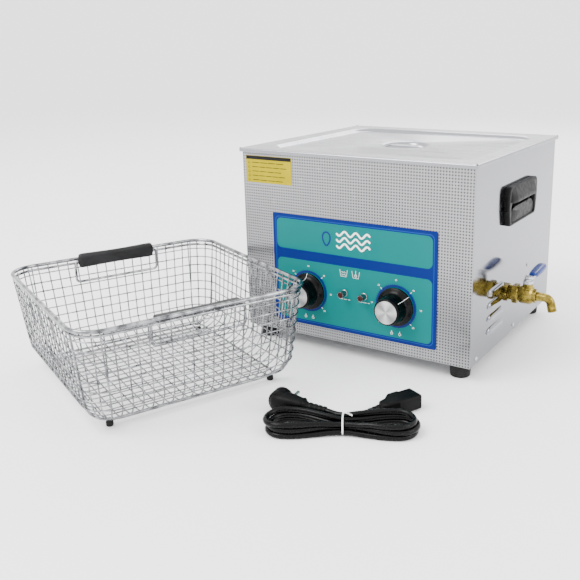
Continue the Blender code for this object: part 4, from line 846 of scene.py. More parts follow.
for text, (x, z) in numbers:
    curve = bpy.data.curves.new("dial_number", "FONT")
    curve.body, curve.size, curve.align_x, curve.align_y = text, 0.0032, "CENTER", "CENTER"
    made = shown("dial_number", curve)
    bpy.context.view_layer.update()
    flat = made.to_mesh()
    count = len(flat.vertices)
    verts = np.empty(count * 3)
    flat.vertices.foreach_get("co", verts)
    verts = verts.reshape(-1, 3)
    stood = np.stack([x + verts[:, 0], np.full(count, panel_face - INK), z + verts[:, 1]], 1)
    white_lines.append((stood, [list(p.vertices) for p in flat.polygons]))
    made.to_mesh_clear()
    bpy.data.objects.remove(made, do_unlink=True)
piece("white_dial_print", white_lines, white_ink, "cleaner", facing=False)
piece("blue_dial_print", blue_lines, blue_ink, "cleaner")

# ---- Care label ------------------------------------------------------------------------------
# A vinyl sticker, yellow with a black head.  Plain bars stand for its lines of print.
label_low, label_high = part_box("warning_label")
LABEL_A, _, LABEL_B = half_size("warning_label")
yellow_vinyl = surface("yellow_vinyl", "#A39400", 0.0, 0.45, tint=(45.0, "#9E9000", "#A99A00"),
                       grain=(300.0, 0.32, 0.46), Specular_IOR_Level=0.05)
outline = rounded_rect(LABEL_A, LABEL_B, 0.0010, 4)
sticker = plate_rings(outline, centre("warning_label")[::2], label_high.y, label_low.y, 0.0001)
piece("care_label", [loft(sticker)], yellow_vinyl, "cleaner", ["warning_label"])
black_ink = surface("black_screen_ink", "#020202", 0.0, 0.42, grain=(900.0, 0.36, 0.50),
                    Specular_IOR_Level=0.2)
bars = [ribbon([(label_low.x + 0.0004, label_high.z - 0.0029),
                (label_high.x - 0.0004, label_high.z - 0.0029)], 0.0050, label_low.y)]
for k, share in enumerate((0.86, 0.94, 0.80, 0.90, 0.84)):
    z = label_high.z - 0.0098 - k * 0.0061
    start = label_low.x + 0.0105
    stop = start + share * (label_high.x - 0.0030 - start)
    breaks = np.linspace(start, stop, 5 + k % 2)
    for a, b in zip(breaks, breaks[1:]):
        bars.append(ribbon([(a, z), (b - 0.0012, z)], 0.0010, label_low.y))
    peak = [(label_low.x + 0.0034, z - 0.0014), (label_low.x + 0.0054, z + 0.0018),
            (label_low.x + 0.0074, z - 0.0014)]
    bars.append(ribbon(peak + peak[:1], 0.0006, label_low.y))
piece("care_label_print", bars, black_ink, "cleaner")

# ---- Dials -----------------------------------------------------------------------------------
# Moulded phenolic knobs with a wide skirt and a pointer line, each with a spun aluminium cap
# pressed into its end.  They turn on flatted steel shafts.
phenolic = surface("moulded_phenolic", "#010101", 0.0, 0.18, grain=(260.0, 0.17, 0.30),
                   bump=(700.0, 0.15, 0.0001), Specular_IOR_Level=0.12)


def spun_aluminium(name, middle):
    """Faced aluminium: fine circular turning marks round the cap's own middle, 0.5 mm apart, and a
    painted sheen: four bright and four dark fans round the middle, painted into the base colour where
    light would catch the marks.
    """
    made, tree, shader, place = start_finish(name, "#BDBDBD", 1.0, 0.28)
    moved = add(tree, "ShaderNodeVectorMath", {"operation": "SUBTRACT"}, {0: place, 1: middle}).outputs[0]
    flat = add(tree, "ShaderNodeVectorMath", {"operation": "MULTIPLY"},
               {0: moved, 1: (1.0, 0.0, 1.0)}).outputs[0]
    radius = add(tree, "ShaderNodeVectorMath", {"operation": "LENGTH"}, {0: flat}).outputs["Value"]
    wave = maths(tree, "SINE", maths(tree, "MULTIPLY", radius, math.tau / 0.0005))
    bumped(tree, shader, wave, 0.30, 0.00003)
    # Painted sheen: the base colour runs light and dark in four fans round the cap's middle, standing in
    # for light caught by the turning marks.
    split = add(tree, "ShaderNodeSeparateXYZ", inputs={0: moved})
    angle = maths(tree, "ARCTAN2", split.outputs[0], split.outputs[2])
    painted_sheen_fans = maths(tree, "COSINE", maths(tree, "MULTIPLY", angle, 4.0))
    share = add(tree, "ShaderNodeMapRange", inputs={0: painted_sheen_fans, 1: -1.0, 2: 1.0, 3: 0.0, 4: 1.0}).outputs[0]
    tinted(tree, shader, share, "#9A9A9B", "#D6D6D6")
    return made


pointer_turn = {"thermostat": 0.0, "timer": 50.0}
for word, body in (("thermostat", "thermostat_dial"), ("timer", "timer_dial")):
    low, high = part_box(f"{word}_knob")
    x, z = dials[word]
    deep = high.y - low.y
    skirt, waist_r, cap_r = half_size(f"{word}_knob")[0], 0.0178, 0.0157
    outline = [(0.004, 0.0), (skirt - 0.0010, 0.0), (skirt - 0.0002, 0.0005), (skirt, 0.0012),
               (skirt, 0.0026), (skirt - 0.0004, 0.0033), (skirt - 0.0014, 0.0039),
               (waist_r + 0.0040, 0.0052), (waist_r + 0.0022, 0.0066), (waist_r + 0.0011, 0.0092),
               (waist_r + 0.0002, deep - 0.0016), (waist_r - 0.0002, deep - 0.0005),
               (waist_r - 0.0009, deep), (cap_r + 0.0004, deep), (cap_r + 0.0003, deep - 0.0010),
               (0.004, deep - 0.0010)]
    piece(f"{word}_dial_body", [lathe(outline, 96, "-Y", (x, high.y, z))], phenolic, body,
          [f"{word}_knob"])
    cap_low, cap_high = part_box(f"{word}_knob_cap")
    depth = cap_high.y - cap_low.y
    cap = [(0.0004, 0.0), (cap_r, 0.0), (cap_r, depth - 0.0007), (cap_r - 0.0003, depth - 0.0002),
           (cap_r - 0.0009, depth), (cap_r * 0.5, depth - 0.0002), (0.0004, depth - 0.0003)]
    piece(f"{word}_dial_cap", [lathe(cap, 96, "-Y", (x, cap_high.y, z))],
          spun_aluminium(f"spun_aluminium_{word}", (x, 0.0, z)), body, [f"{word}_knob_cap"])
    a = math.radians(pointer_turn[word])
    lead_r = np.array([waist_r + 0.0001, waist_r + 0.0013, waist_r + 0.0024, waist_r + 0.0042,
                       skirt - 0.0014, skirt - 0.0003, skirt + 0.0001])
    lead_d = np.array([deep - 0.0018, 0.0092, 0.0066, 0.0052, 0.0039, 0.0033, 0.0020]) + 0.00012
    line = []
    for half in (-0.00022, 0.00022):
        line.append(np.stack([x + lead_r * math.sin(a) + half * math.cos(a), high.y - lead_d,
                              z + lead_r * math.cos(a) - half * math.sin(a)], 1))
    strip = np.stack(line, 1)
    under = strip + np.array((0.0, 0.0002, 0.0))
    piece(f"{word}_dial_pointer", [loft(np.concatenate([strip, under[:, ::-1]], 1))], white_ink, body)

turned_steel = surface("turned_steel", "#B4B5B7", 1.0, 0.28, grain=(800.0, 0.22, 0.40))
paint(turned_steel, "timer_shaft", "thermostat_shaft")

# ---- Pilot lamps -----------------------------------------------------------------------------
# Chromed brass tubes with a rolled mouth and a dark red polycarbonate lens, each pushed through
# the panel as far as a small collar and held by a nut behind it.
chromed_brass = surface("chromed_brass", "#8F9092", 1.0, 0.12, grain=(500.0, 0.07, 0.16))
red_glass = surface("red_polycarbonate", "#2A0302", 0.0, 0.16, tint=(350.0, "#1C0201", "#3A0603"),
                    Specular_IOR_Level=0.2)
for word in ("heating_lamp", "working_lamp"):
    x, z = lamp_mid[word]
    out = panel_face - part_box(f"{word}_bezel")[0].y
    r = half_size(f"{word}_bezel")[0]
    tube_line = [(r - 0.0015, -0.008), (r - 0.0006, -0.008), (r - 0.0006, 0.0001), (r, 0.0003),
                 (r, 0.0012), (r - 0.0006, 0.0016), (r - 0.0006, 0.0030), (r - 0.0006, out - 0.0018),
                 (r, out - 0.0012), (r - 0.0004, out), (r - 0.0010, out), (r - 0.0012, out - 0.0008),
                 (r - 0.0015, out - 0.0030)]
    bezel = lathe(tube_line, 40, "-Y", (x, panel_face, z), wrap=True)
    piece(f"{word}_tube", [bezel], chromed_brass, "cleaner", [f"{word}_bezel"])
    lens_low, lens_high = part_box(f"{word}_lens")
    span, lens_r = lens_high.y - lens_low.y, half_size(f"{word}_lens")[0]
    dome = [(lens_r * 0.3, 0.0), (lens_r, 0.0)]
    dome += [(lens_r * math.cos(a) + 1e-5, span - 0.0014 + 0.0014 * math.sin(a))
             for a in np.linspace(0.0, 1.54, 7)]
    lens = lathe(dome, 40, "-Y", (x, lens_high.y, z))
    piece(f"{word}_dome", [lens], red_glass, "cleaner", [f"{word}_lens"])


# ---- Lifting handles -------------------------------------------------------------------------
# Glass-filled nylon mouldings, clipped into cut-outs in the side sheets: a bevelled plate, a
# finger pocket with a gusset, and a grip that overhangs the pocket.
nylon = surface("moulded_nylon", "#050506", 0.0, 0.40, grain=(180.0, 0.38, 0.54),
                bump=(1300.0, 0.40, 0.00012), Specular_IOR_Level=0.14)


def round_polygon(corners, radius, per=5, total=96):
    """Points round a polygon in Y and Z whose corners are rounded by a quadratic curve, spread
    evenly along its length, starting from the point nearest straight up."""
    corners = np.asarray(corners, float)
    points = []
    for before, here, after in zip(np.roll(corners, 1, 0), corners, np.roll(corners, -1, 0)):
        reach_in = min(radius, np.linalg.norm(before - here) * 0.45)
        reach_out = min(radius, np.linalg.norm(after - here) * 0.45)
        p0 = here + (before - here) / np.linalg.norm(before - here) * reach_in
        p2 = here + (after - here) / np.linalg.norm(after - here) * reach_out
        t = np.linspace(0.0, 1.0, per)[:, None]
        points.append((1 - t) ** 2 * p0 + 2 * t * (1 - t) * here + t ** 2 * p2)
    points = np.concatenate(points)
    loop = np.vstack([points, points[:1]])
    run = np.concatenate([[0.0], np.cumsum(np.linalg.norm(np.diff(loop, axis=0), axis=1))])
    marks = np.arange(total) * run[-1] / total
    even = np.stack([np.interp(marks, run, loop[:, k]) for k in range(2)], 1)
    centre = even.mean(0)
    first = np.argmax((even - centre) @ np.array((0.0, 1.0)) - np.abs((even - centre)[:, 0]) * 3.0)
    return np.roll(even, -first, 0)


def mirrored(right):
    """The corners of an even polygon in Y and Z from those of its right half, from the foot up."""
    left = [(-y, z) for y, z in right]
    return left[:1] + right + left[:0:-1]


handle_low, handle_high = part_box("handle_right")
HANDLE_W, h = half_size("handle_right")[1], handle_high.z - handle_low.z
FOOT_W, PLATE, GRIP_OUT, POCKET = 0.0540, 0.0075, handle_high.x - RIGHT, RIGHT - handle_low.x
plate_line = round_polygon(mirrored([
    (FOOT_W, 0.0), (HANDLE_W, h * 0.42), (HANDLE_W, h * 0.88), (HANDLE_W - 0.005, h)]), 0.0035)
mouth_low, mouth_high, mouth_w = h * 0.055, h * 0.74, FOOT_W - 0.0050
TAB_H = h * 0.40
mouth_line = round_polygon(mirrored([
    (mouth_w, mouth_low), (mouth_w, mouth_high - 0.010), (mouth_w - 0.014, mouth_high)]), 0.0060)
tab_w = mouth_w - 0.0008
tab_line = round_polygon(mirrored([
    (tab_w, mouth_low - 0.001), (tab_w, mouth_low + TAB_H * 0.62),
    (tab_w - 0.0110, mouth_low + TAB_H)]), 0.0070)


def handle_shapes(face_x, side):
    """The plate and pocket as one run of rings from the back edge, over the plate's rim, into
    the mouth and down to the pocket's floor; then the grip and the gusset."""
    def ring(line, out, scale=1.0):
        middle = line.mean(0)
        flat = middle + (line - middle) * scale
        return np.column_stack([np.full(len(flat), face_x + side * out), MID_Y + flat[:, 0],
                                handle_low.z + flat[:, 1]])

    rings = [ring(plate_line, 0.0003), ring(plate_line, PLATE - 0.0014),
             ring(plate_line, PLATE - 0.0004, 0.988), ring(plate_line, PLATE, 0.968),
             ring(mouth_line, PLATE, 1.05), ring(mouth_line, PLATE - 0.0006, 1.01),
             ring(mouth_line, PLATE - 0.0020, 1.0), ring(mouth_line, -POCKET + 0.0030, 0.97),
             ring(mouth_line, -POCKET + 0.0015, 0.90)]
    shapes = [loft(rings)]
    v = np.linspace(-1.0, 1.0, 45)
    width = HANDLE_W - 0.0060
    end = np.clip((1.0 - np.abs(v)) * width / 0.0150, 0.0, 1.0) ** 0.5
    section = round_polygon([(0.0060, h * 0.66), (GRIP_OUT - 0.0020, h * 0.575), (GRIP_OUT, h * 0.60),
                             (GRIP_OUT, h * 0.66), (PLATE, h * 0.985), (0.0060, h * 0.985)], 0.0014,
                            total=48)
    out = 0.0066 + (section[None, :, 0] - 0.0066) * (0.10 + 0.90 * end[:, None])
    rise = h * 0.74 + (section[None, :, 1] - h * 0.74) * (0.80 + 0.20 * end[:, None])
    shapes.append(loft(np.stack([face_x + side * out,
                                 np.broadcast_to(MID_Y + width * v[:, None], out.shape),
                                 handle_low.z + rise], -1)))
    tab = [ring(tab_line, out, scale) for out, scale in
           ((PLATE - 0.0060, 1.0), (PLATE - 0.0022, 1.0), (PLATE - 0.0015, 0.975), (PLATE - 0.0015, 0.2))]
    shapes.append(loft(tab))
    for z in np.arange(h * 0.40, h * 0.84, 0.0026):
        edge = plate_line[np.abs(plate_line[:, 1] - z).argsort()[:8], 0]
        for y in (edge.min(), edge.max()):
            tooth = rounded_rect(0.0016, 0.0007, 0.0004, 2) + (y, z)
            shapes.append(loft([ring(tooth, 0.0004), ring(tooth, PLATE - 0.0024),
                                ring(tooth, PLATE - 0.0016, 0.8)]))
    gusset = [(-POCKET + 0.002, mouth_low + 0.0060), (PLATE - 0.0010, mouth_low + TAB_H - 0.002),
              (GRIP_OUT - 0.0030, mouth_high - 0.0070), (-POCKET + 0.002, mouth_high - 0.001)]
    ribs = []
    for y in (0.0170, 0.0188):
        ribs.append([(face_x + side * a, MID_Y + y, handle_low.z + b) for a, b in gusset])
    shapes.append(loft(np.array(ribs)))
    return shapes


for side, face_x, word in ((1.0, RIGHT, "right"), (-1.0, LEFT, "left")):
    piece(f"lifting_handle_{word}", handle_shapes(face_x, side), nylon, "cleaner", [f"handle_{word}"],
          sharp=40.0)

# ---- Drain valve -----------------------------------------------------------------------------
# A quarter-turn ball valve in machined brass on a threaded nipple, with a bent spout.  A
# pressed steel lever in a blue vinyl sleeve turns the ball; the gland nut holds its stem.
brass = surface("machined_brass", "#847437", 1.0, 0.18, tint=(130.0, "#54461A", "#A08C40"),
                grain=(420.0, 0.15, 0.34), bump=(900.0, 0.20, 0.0001))
body_low, body_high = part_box("valve_body")
nipple_low, nipple_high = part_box("valve_nipple")
_, valve_y, valve_z = centre("valve_nipple")
stem_low, stem_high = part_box("valve_stem")
ball_x = centre("valve_stem")[0]
BODY_R = 0.0122


def threads(start, end, r, pitch):
    """Outline points of a rolled thread as a row of small ridges."""
    count = int((end - start) / pitch)
    points = []
    for k in range(count):
        a = start + k * pitch
        points += [(r - 0.0007, a), (r, a + pitch * 0.35), (r, a + pitch * 0.55),
                   (r - 0.0007, a + pitch * 0.9)]
    return points


nipple_len = nipple_high.x - nipple_low.x
hex_part = [(0.0070, 0.0), (0.0124, 0.0), (0.0128, 0.0006), (0.0128, nipple_len * 0.50),
            (0.0122, nipple_len * 0.56), (0.0100, nipple_len * 0.57), (0.0070, nipple_len * 0.57)]
thread_part = [(0.0064, nipple_len * 0.5)] + threads(nipple_len * 0.58, nipple_len, 0.0104, 0.0014)
thread_part += [(0.0100, nipple_len), (0.0064, nipple_len)]
nipple_at = (nipple_low.x, valve_y, valve_z)
piece("drain_nipple", [lathe(hex_part, 96, "X", nipple_at, True, 0.0112),
                       lathe(thread_part, 48, "X", nipple_at, True)],
      brass, "cleaner", ["valve_nipple"])

body_len = body_high.x - body_low.x
ball_at = ball_x - body_low.x
barrel = [(0.0062, 0.0), (BODY_R - 0.0010, 0.0), (BODY_R - 0.0002, 0.0005), (BODY_R, 0.0012),
          (BODY_R, 0.0080), (BODY_R - 0.0006, 0.0088), (BODY_R - 0.0016, 0.0093),
          (BODY_R - 0.0016, 0.0106), (BODY_R - 0.0004, 0.0114), (BODY_R, 0.0126),
          (BODY_R + 0.0001, ball_at), (BODY_R - 0.0002, body_len - 0.0075),
          (BODY_R - 0.0020, body_len - 0.0055), (BODY_R - 0.0026, body_len - 0.0048),
          (BODY_R - 0.0026, body_len - 0.0004), (BODY_R - 0.0030, body_len), (0.0062, body_len)]
inside = [(0.0062, body_len - 0.006), (0.0062, 0.006)]
collar = [(BODY_R - 0.003, 0.0010), (BODY_R + 0.0014, 0.0010), (BODY_R + 0.0018, 0.0016),
          (BODY_R + 0.0018, 0.0074), (BODY_R + 0.0014, 0.0080), (BODY_R - 0.003, 0.0080)]
body_at = (body_low.x, valve_y, valve_z)
boss_top = body_high.z - valve_z
boss = [(0.0092, 0.0092), (0.0084, 0.0106), (0.0070, 0.0118), (0.0068, boss_top - 0.0006),
        (0.0064, boss_top), (0.0031, boss_top), (0.0031, 0.0092)]
piece("drain_valve_body", [lathe(barrel + inside, 72, "X", body_at, True),
                           lathe(collar, 96, "X", body_at, True, BODY_R - 0.0002),
                           lathe(boss, 48, "Z", (ball_x, valve_y, valve_z), True)],
      brass, "cleaner", ["valve_body"])

SPOUT_R, SPOUT_RUN, SPOUT_BEND, SPOUT_DROP, SPOUT_TILT = 0.0062, 0.0100, 0.0095, 0.0110, math.radians(76)
spout_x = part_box("valve_spout")[0].x
bend_a = np.linspace(0.0, SPOUT_TILT, 13)
bend_x = spout_x + SPOUT_RUN + SPOUT_BEND * np.sin(bend_a)
bend_z = valve_z - SPOUT_BEND * (1.0 - np.cos(bend_a))
tail = np.array([0.2, 0.4, 0.6, 0.62, 0.7, 0.72, 0.8, 0.82, 0.9, 0.97, 1.0]) * SPOUT_DROP
spout_line = np.column_stack([
    np.concatenate([spout_x + np.linspace(0.0, SPOUT_RUN * 0.9, 5), bend_x,
                    bend_x[-1] + tail * math.cos(SPOUT_TILT)]),
    np.full(5 + len(bend_x) + len(tail), valve_y),
    np.concatenate([np.full(5, valve_z), bend_z, bend_z[-1] - tail * math.sin(SPOUT_TILT)])])
swell = np.full(len(spout_line), SPOUT_R - 0.0004)
swell[:3] = SPOUT_R
swell[-8::2] = SPOUT_R
swell[-1] = SPOUT_R - 0.0006
inner = tube(spout_line, SPOUT_R - 0.0016, 32, (0, 1, 0))
outer = tube(spout_line, swell, 32, (0, 1, 0))
piece("drain_spout", [loft(np.concatenate([outer, inner[::-1]]), wrap=True)], brass, "cleaner",
      ["valve_spout"], sharp=50.0)

gland_low, gland_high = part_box("valve_gland_nut")
gland_h = gland_high.z - gland_low.z
gland = [(0.0031, 0.0), (0.0068, 0.0), (0.0072, 0.0005), (0.0072, gland_h - 0.0007), (0.0066, gland_h),
         (0.0031, gland_h)]
piece("gland_nut", [lathe(gland, 96, "Z", (ball_x, valve_y, gland_low.z), True, 0.00625)], screw_steel,
      "cleaner", ["valve_gland_nut"])
stem_len = stem_high.z - stem_low.z
stem = [(0.0027, 0.0), (0.0027, stem_len * 0.5)]
stem += threads(stem_len * 0.55, stem_len - 0.001, 0.0028, 0.0008) + [(0.0021, stem_len)]
lever_low, lever_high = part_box("valve_lever")
nut_at = lever_low.z + 0.0024
top_nut = [(0.0029, 0.0), (0.0050, 0.0), (0.0054, 0.0005), (0.0054, 0.0023), (0.0049, 0.0028),
           (0.0029, 0.0028)]
piece("valve_spindle", [lathe(stem, 32, "Z", (ball_x, valve_y, stem_low.z)),
                        lathe(top_nut, 72, "Z", (ball_x, valve_y, nut_at), True, 0.0047)],
      screw_steel, "valve_handle", ["valve_stem"])

LEVER_LEN, LEVER_W, LEVER_T, CRANK = 0.060, 0.0100, 0.0022, 0.012
rise = lever_high.z - LEVER_T - lever_low.z
lever_y = np.concatenate([np.linspace(-0.0075, CRANK, 15), np.linspace(CRANK + 0.004, LEVER_LEN, 15)])
lever_z = lever_low.z + rise * eased((lever_y - CRANK) / (LEVER_LEN - CRANK))
half_width = LEVER_W / 2.0 * np.sqrt(np.clip(1.0 - ((-lever_y - 0.0025) / 0.005) ** 2, 0.02, 1.0))
half_width[lever_y > -0.0025] = LEVER_W / 2.0
section = rounded_rect(1.0, 1.0, 0.35, 3)
lever = np.stack([ball_x + half_width[:, None] * section[None, :, 0],
                  np.broadcast_to(valve_y + lever_y[:, None], (30, len(section))),
                  lever_z[:, None] + LEVER_T / 2.0 + LEVER_T / 2.0 * section[None, :, 1]], -1)
piece("valve_lever_bar", [loft(lever)], turned_steel, "valve_handle", ["valve_lever"])

# Dipped vinyl: blue plastisol, thick, soft and glossy, drawn over the lever while hot.
plastisol = surface("blue_plastisol", "#042468", 0.0, 0.28, tint=(60.0, "#031E5C", "#062D78"),
                    grain=(260.0, 0.24, 0.38), bump=(400.0, 0.20, 0.0002), Specular_IOR_Level=0.3)
sleeve_low, sleeve_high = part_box("valve_lever_grip")
sleeve_y = np.linspace(sleeve_low.y - valve_y, sleeve_high.y - valve_y, 41)
t = (sleeve_y - sleeve_y[0]) / (sleeve_y[-1] - sleeve_y[0])
plump = np.sqrt(np.clip(1.0 - np.abs(2.0 * t - 1.0) ** 9, 0.03, 1.0))
plump *= 0.90 + 0.10 * np.cos((t - 0.6) * 4.0)
half_w, half_t = half_size("valve_lever_grip")[0], 0.0044
slope = np.clip((sleeve_y - CRANK) / (LEVER_LEN - CRANK), 0.0, 1.12)
mid_line = lever_low.z + LEVER_T / 2.0 + rise * slope
section = rounded_rect(1.0, 1.0, 0.72, 6)
sleeve = np.stack([ball_x + (half_w * plump)[:, None] * section[None, :, 0],
                   np.broadcast_to(valve_y + sleeve_y[:, None], (41, len(section))),
                   mid_line[:, None] + (half_t * plump)[:, None] * section[None, :, 1]], -1)
piece("valve_lever_sleeve", [loft(sleeve)], plastisol, "valve_handle", ["valve_lever_grip"],
      sharp=60.0)

paint(brass, "drain_pipe", "drain_locknut")
paint(chromed_brass, "valve_ball")

# ---- Feet ------------------------------------------------------------------------------------
# Turned rubber feet, each screwed through its middle into the base.
rubber = surface("moulded_rubber", "#070707", 0.0, 0.66, grain=(240.0, 0.58, 0.74),
                 bump=(1200.0, 0.45, 0.00015), Specular_IOR_Level=0.25)
for number in range(1, 5):
    low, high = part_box(f"foot_{number}")
    r, tall = half_size(f"foot_{number}")[0], high.z - low.z
    outline = [(0.0035, 0.0040), (0.0060, 0.0), (r * 0.88 - 0.001, 0.0), (r * 0.92, 0.0006),
               (r * 0.95, 0.0018), (r * 0.985, tall * 0.55), (r, tall - 0.0010), (r - 0.0008, tall),
               (0.0035, tall)]
    foot = lathe(outline, 56, "Z", (*centre(f"foot_{number}")[:2], low.z), True)
    piece(f"rubber_foot_{number}", [foot], rubber, "cleaner", [f"foot_{number}"])

# ---- Basket ----------------------------------------------------------------------------------
# Stainless wires, spot-welded into a mesh, pressed to a tapered bowl and electropolished.  Two
# rim wires hold its top, and two foot rails with rubber tips carry it.
RIM_A, RIM_B, LOW_A, LOW_B = 0.1455, 0.1530, 0.1355, 0.1430
CORNER, ROUNDING, RIM_Z, CLEAR = 0.034, 0.034, 0.132, 0.010
BASKET_TURN = math.radians(66)
WIRE_R, WIRE_PITCH = 0.00085, 0.0125
basket_mid = centre("basket_rim")[:2]


def in_basket(points):
    """Points drawn square to the basket, turned and moved to where it stands."""
    return placed(points, BASKET_TURN, basket_mid)


def turned_way(a, b):
    """A direction drawn square to the basket, turned with it."""
    return tuple(placed((a, b, 0.0), BASKET_TURN))


def wall_line(count=11):
    """How far a wall wire stands in from the low half size, and its height, from the bottom's
    edge round the rounding and up to the rim."""
    a = np.linspace(0.0, math.pi / 2.0, 7)
    out = -ROUNDING + ROUNDING * np.sin(a)
    z = CLEAR + ROUNDING - ROUNDING * np.cos(a)
    t = np.linspace(0.0, 1.0, count)[1:]
    taper = RIM_A - LOW_A
    top = RIM_Z - 0.001 - CLEAR - ROUNDING
    return np.concatenate([out, taper * t]), np.concatenate([z, CLEAR + ROUNDING + top * t])


out_line, z_line = wall_line()
wires = []


def add_wire(points, flat, closed=False):
    """Adds one mesh wire along points drawn square to the basket."""
    wires.append(loft(tube(in_basket(points), WIRE_R, 7, flat, closed), wrap=closed))


def spaced(half):
    """Even places about the middle, a mesh pitch apart."""
    count = int(half / WIRE_PITCH)
    return np.arange(-count, count + 1) * (half / (count + 0.5))


bottom = np.linspace(-1.0, 1.0, 9)[1:-1]
OVER = WIRE_R * 1.6                   # how far one layer of wires lies over the other
for axis, half, other in ((0, LOW_A, LOW_B), (1, LOW_B, LOW_A)):
    along = np.concatenate([-half - out_line[::-1], bottom * (half - ROUNDING), half + out_line])
    z = np.concatenate([z_line[::-1], np.full(len(bottom), CLEAR), z_line]) + axis * OVER
    fan = 1.0 + 0.10 * (z - CLEAR) / (RIM_Z - CLEAR)
    for shift in spaced(other - CORNER * 0.6):
        line = [shift * fan, along] if axis else [along, shift * fan]
        add_wire(np.column_stack([*line, z]), turned_way(axis, 1 - axis))
for sa in (-1.0, 1.0):
    for sb in (-1.0, 1.0):
        for angle in np.radians((18.0, 36.0, 54.0, 72.0)):
            r = CORNER + out_line
            reach = np.maximum(r, 0.004)
            a = sa * (LOW_A - CORNER + reach * math.cos(angle))
            b = sb * (LOW_B - CORNER + reach * math.sin(angle))
            add_wire(np.column_stack([a, b, z_line]),
                     turned_way(-sa * sb * math.sin(angle), math.cos(angle)))
hoops = []
for z in np.arange(RIM_Z - WIRE_PITCH, CLEAR + ROUNDING - 0.002, -WIRE_PITCH):
    share = (z - CLEAR - ROUNDING) / (RIM_Z - CLEAR - ROUNDING)
    hoops.append(((RIM_A - LOW_A) * share + OVER, 0.3, z))
for a in (0.30, 0.80, 1.25):
    z = CLEAR + ROUNDING - (ROUNDING + OVER) * math.cos(a)
    hoops.append(((ROUNDING + OVER) * math.sin(a) - ROUNDING, 0.6, z))
for grow, rounder, z in hoops:
    line = rounded_rect(LOW_A + grow, LOW_B + grow, CORNER + grow * rounder, 8)
    add_wire(level(line, z), (0, 0, 1), closed=True)

# Electropolished wire: bright, with its grey tone and its roughness varying at random along it.
polished_wire = surface("electropolished_wire", "#77787B", 1.0, 0.14, tint=(90.0, "#3C3D40", "#A8A9AC"),
                        grain=(600.0, 0.10, 0.24))
piece("basket_wires", wires, polished_wire, "basket", ["basket_mesh"], sharp=60.0)

rails = []
FOOT_A, FOOT_B, RAIL_R = 0.106, 0.110, 0.0016
for v in (-FOOT_B, FOOT_B):
    corner = 0.004
    turn_a = np.linspace(0.0, math.pi / 2.0, 6)
    left_u = -FOOT_A + corner - corner * np.cos(turn_a)
    left_z = CLEAR - 0.003 - corner + corner * np.sin(turn_a)
    u = np.concatenate([[-FOOT_A], left_u, -left_u[::-1], [FOOT_A]])
    z = np.concatenate([[0.0015], left_z, left_z[::-1], [0.0015]])
    rails.append(loft(tube(in_basket(np.column_stack([u, np.full(len(u), v), z])), RAIL_R, 10,
                           turned_way(0, 1))))
for grow, z, r in ((0.0004, RIM_Z, 0.0025), (-0.0008, RIM_Z - 0.0058, 0.0017)):
    line = rounded_rect(RIM_A + grow, RIM_B + grow, CORNER, 14)
    ring = tube(in_basket(level(line, z)), r, 14, (0, 0, 1), closed=True)
    rails.append(loft(ring, wrap=True))
piece("basket_rim_wires", rails, polished_wire, "basket", ["basket_rim"], sharp=60.0)
tips = []
for u in (-FOOT_A, FOOT_A):
    for v in (-FOOT_B, FOOT_B):
        outline = [(0.0030, 0.0), (0.0040, 0.0005), (0.0044, 0.0016), (0.0044, 0.0056), (0.0038, 0.0066),
                   (0.0018, 0.0068)]
        tips.append(lathe(outline, 24, "Z", in_basket((u, v, 0.0))))
piece("basket_foot_tips", tips, rubber, "basket")

# ---- Basket bails ----------------------------------------------------------------------------
# Each is a bent wire loop, hung inside the rim and sleeved along its top with a flattened
# tube of black nitrile rubber.
nitrile = surface("nitrile_tube", "#0C0C0E", 0.0, 0.46,
                  tint=(30.0, "#060607", "#1C1C1E", (1.0, 1.0, 3.0)), grain=(200.0, 0.40, 0.56),
                  Specular_IOR_Level=0.25)
LOOP_HALF, LOOP_DROP, LOOP_R, LOOP_IN = 0.0590, 0.0300, 0.0017, 0.0130
SLEEVE_HALF = 0.0550
for word, side, hang, half_v, half_z in (("front", -1.0, 0.0050, 0.0085, 0.0038),
                                         ("back", 1.0, 0.0, 0.0048, 0.0098)):
    v = side * (RIM_B - LOOP_IN)
    top = RIM_Z - hang
    line = rounded_rect(LOOP_HALF, LOOP_DROP / 2.0, 0.0050, 8)
    points = np.column_stack([line[:, 0], np.full(len(line), v), line[:, 1] + top - LOOP_DROP / 2.0])
    loop = tube(in_basket(points), LOOP_R, 12, turned_way(0, 1), closed=True)
    piece(f"basket_bail_{word}_wire", [loft(loop, wrap=True)], polished_wire, f"basket_bail_{word}",
          [f"basket_handle_{word}"], sharp=60.0)
    t = np.linspace(-1.0, 1.0, 49)
    fat = np.sqrt(np.clip(1.0 - np.abs(t) ** 40, 0.10, 1.0)) * (1.0 - 0.05 * np.cos(t * 3.0))
    section = rounded_rect(half_v, half_z, min(half_v, half_z) * 0.96, 8)
    sleeve = np.stack([np.broadcast_to(SLEEVE_HALF * t[:, None], (49, len(section))),
                       v + fat[:, None] * section[None, :, 0], top + fat[:, None] * section[None, :, 1]],
                      -1)
    piece(f"basket_bail_{word}_sleeve", [loft(in_basket(sleeve))], nitrile, f"basket_bail_{word}",
          [f"basket_grip_{word}"], sharp=60.0)

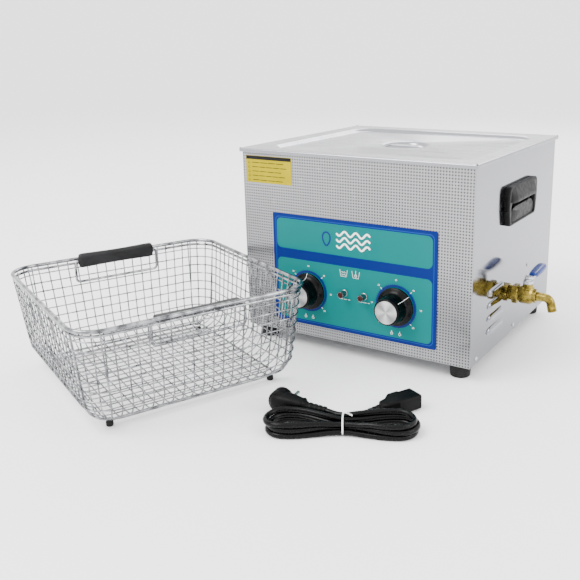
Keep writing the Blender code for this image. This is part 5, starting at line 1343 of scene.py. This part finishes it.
# ---- Inside and back fittings ----------------------------------------------------------------
# Behind the sheets: transducers bonded under the tank, a pad heater, the generator board with
# its heat sink, the fan, the switches and the mains inlet.  They keep their simple shapes.
cast_aluminium = surface("machined_aluminium", "#B8BABD", 1.0, 0.34, grain=(300.0, 0.26, 0.44))
board_resin = surface("solder_masked_board", "#0C5A2E", 0.0, 0.40, tint=(250.0, "#0A4B26", "#12703A"))
silicone = surface("silicone_heater", "#A4401C", 0.0, 0.58, bump=(800.0, 0.40, 0.0002))
paint(cast_aluminium, "board_heatsink", *(f"transducer_{n}" for n in range(1, 7)))
paint(board_resin, "generator_board")
paint(silicone, "heater_pad")
paint(nylon, "fan_frame", "fan_rotor", "thermostat", "timer_switch", "power_inlet")

# ---- Floor and lights ------------------------------------------------------------------------
# A pale seamless floor that curves up far away, a large soft light above, one at each side and
# a pale sky.
FLAT_R, CURVE_R = 5.0, 2.0            # the flat part's radius and its edge's curve
climb = np.linspace(0.15, 1.5, 8)
ring_r = np.concatenate([[0.01], np.linspace(0.5, FLAT_R, 12), FLAT_R + CURVE_R * np.sin(climb)])
ring_z = np.concatenate([np.zeros(13), CURVE_R - CURVE_R * np.cos(climb)])
angle = np.arange(72) * math.tau / 72
bowl = np.stack([ring_r[:, None] * np.cos(angle), ring_r[:, None] * np.sin(angle),
                 np.broadcast_to(ring_z[:, None], (len(ring_r), 72))], -1)
verts, faces = loft(bowl, caps=False)
faces.append(list(range(72))[::-1])
floor_mesh = bpy.data.meshes.new("floor")
floor_mesh.from_pydata(verts.tolist(), [], faces)
floor_mesh.shade_smooth()
floor_mesh.materials.append(surface("pale_floor", "#F6F6F6", 0.0, 0.75))
shown("floor", floor_mesh)


def soft_light(name, at, aim, size, power):
    """A square area light that points from one place at another."""
    data = bpy.data.lights.new(name, "AREA")
    data.shape, data.size, data.energy = "SQUARE", size, power
    made = shown(name, data)
    made.location = at
    made.rotation_euler = (Vector(at) - Vector(aim)).to_track_quat("Z", "Y").to_euler()


soft_light("key_light", (-0.9, -1.4, 2.2), (0.0, 0.0, 0.1), 1.4, 85.0)
soft_light("side_light", (2.2, 0.2, 1.2), (0.1, 0.1, 0.1), 1.2, 26.0)
soft_light("back_light", (-0.4, 2.4, 1.8), (0.0, 0.1, 0.1), 1.4, 40.0)
sky = bpy.data.worlds.new("pale_sky")
sky.use_nodes = True
sky.node_tree.nodes["Background"].inputs[0].default_value = linear("#FFFFFF")
sky.node_tree.nodes["Background"].inputs[1].default_value = 2.6
bpy.context.scene.world = sky
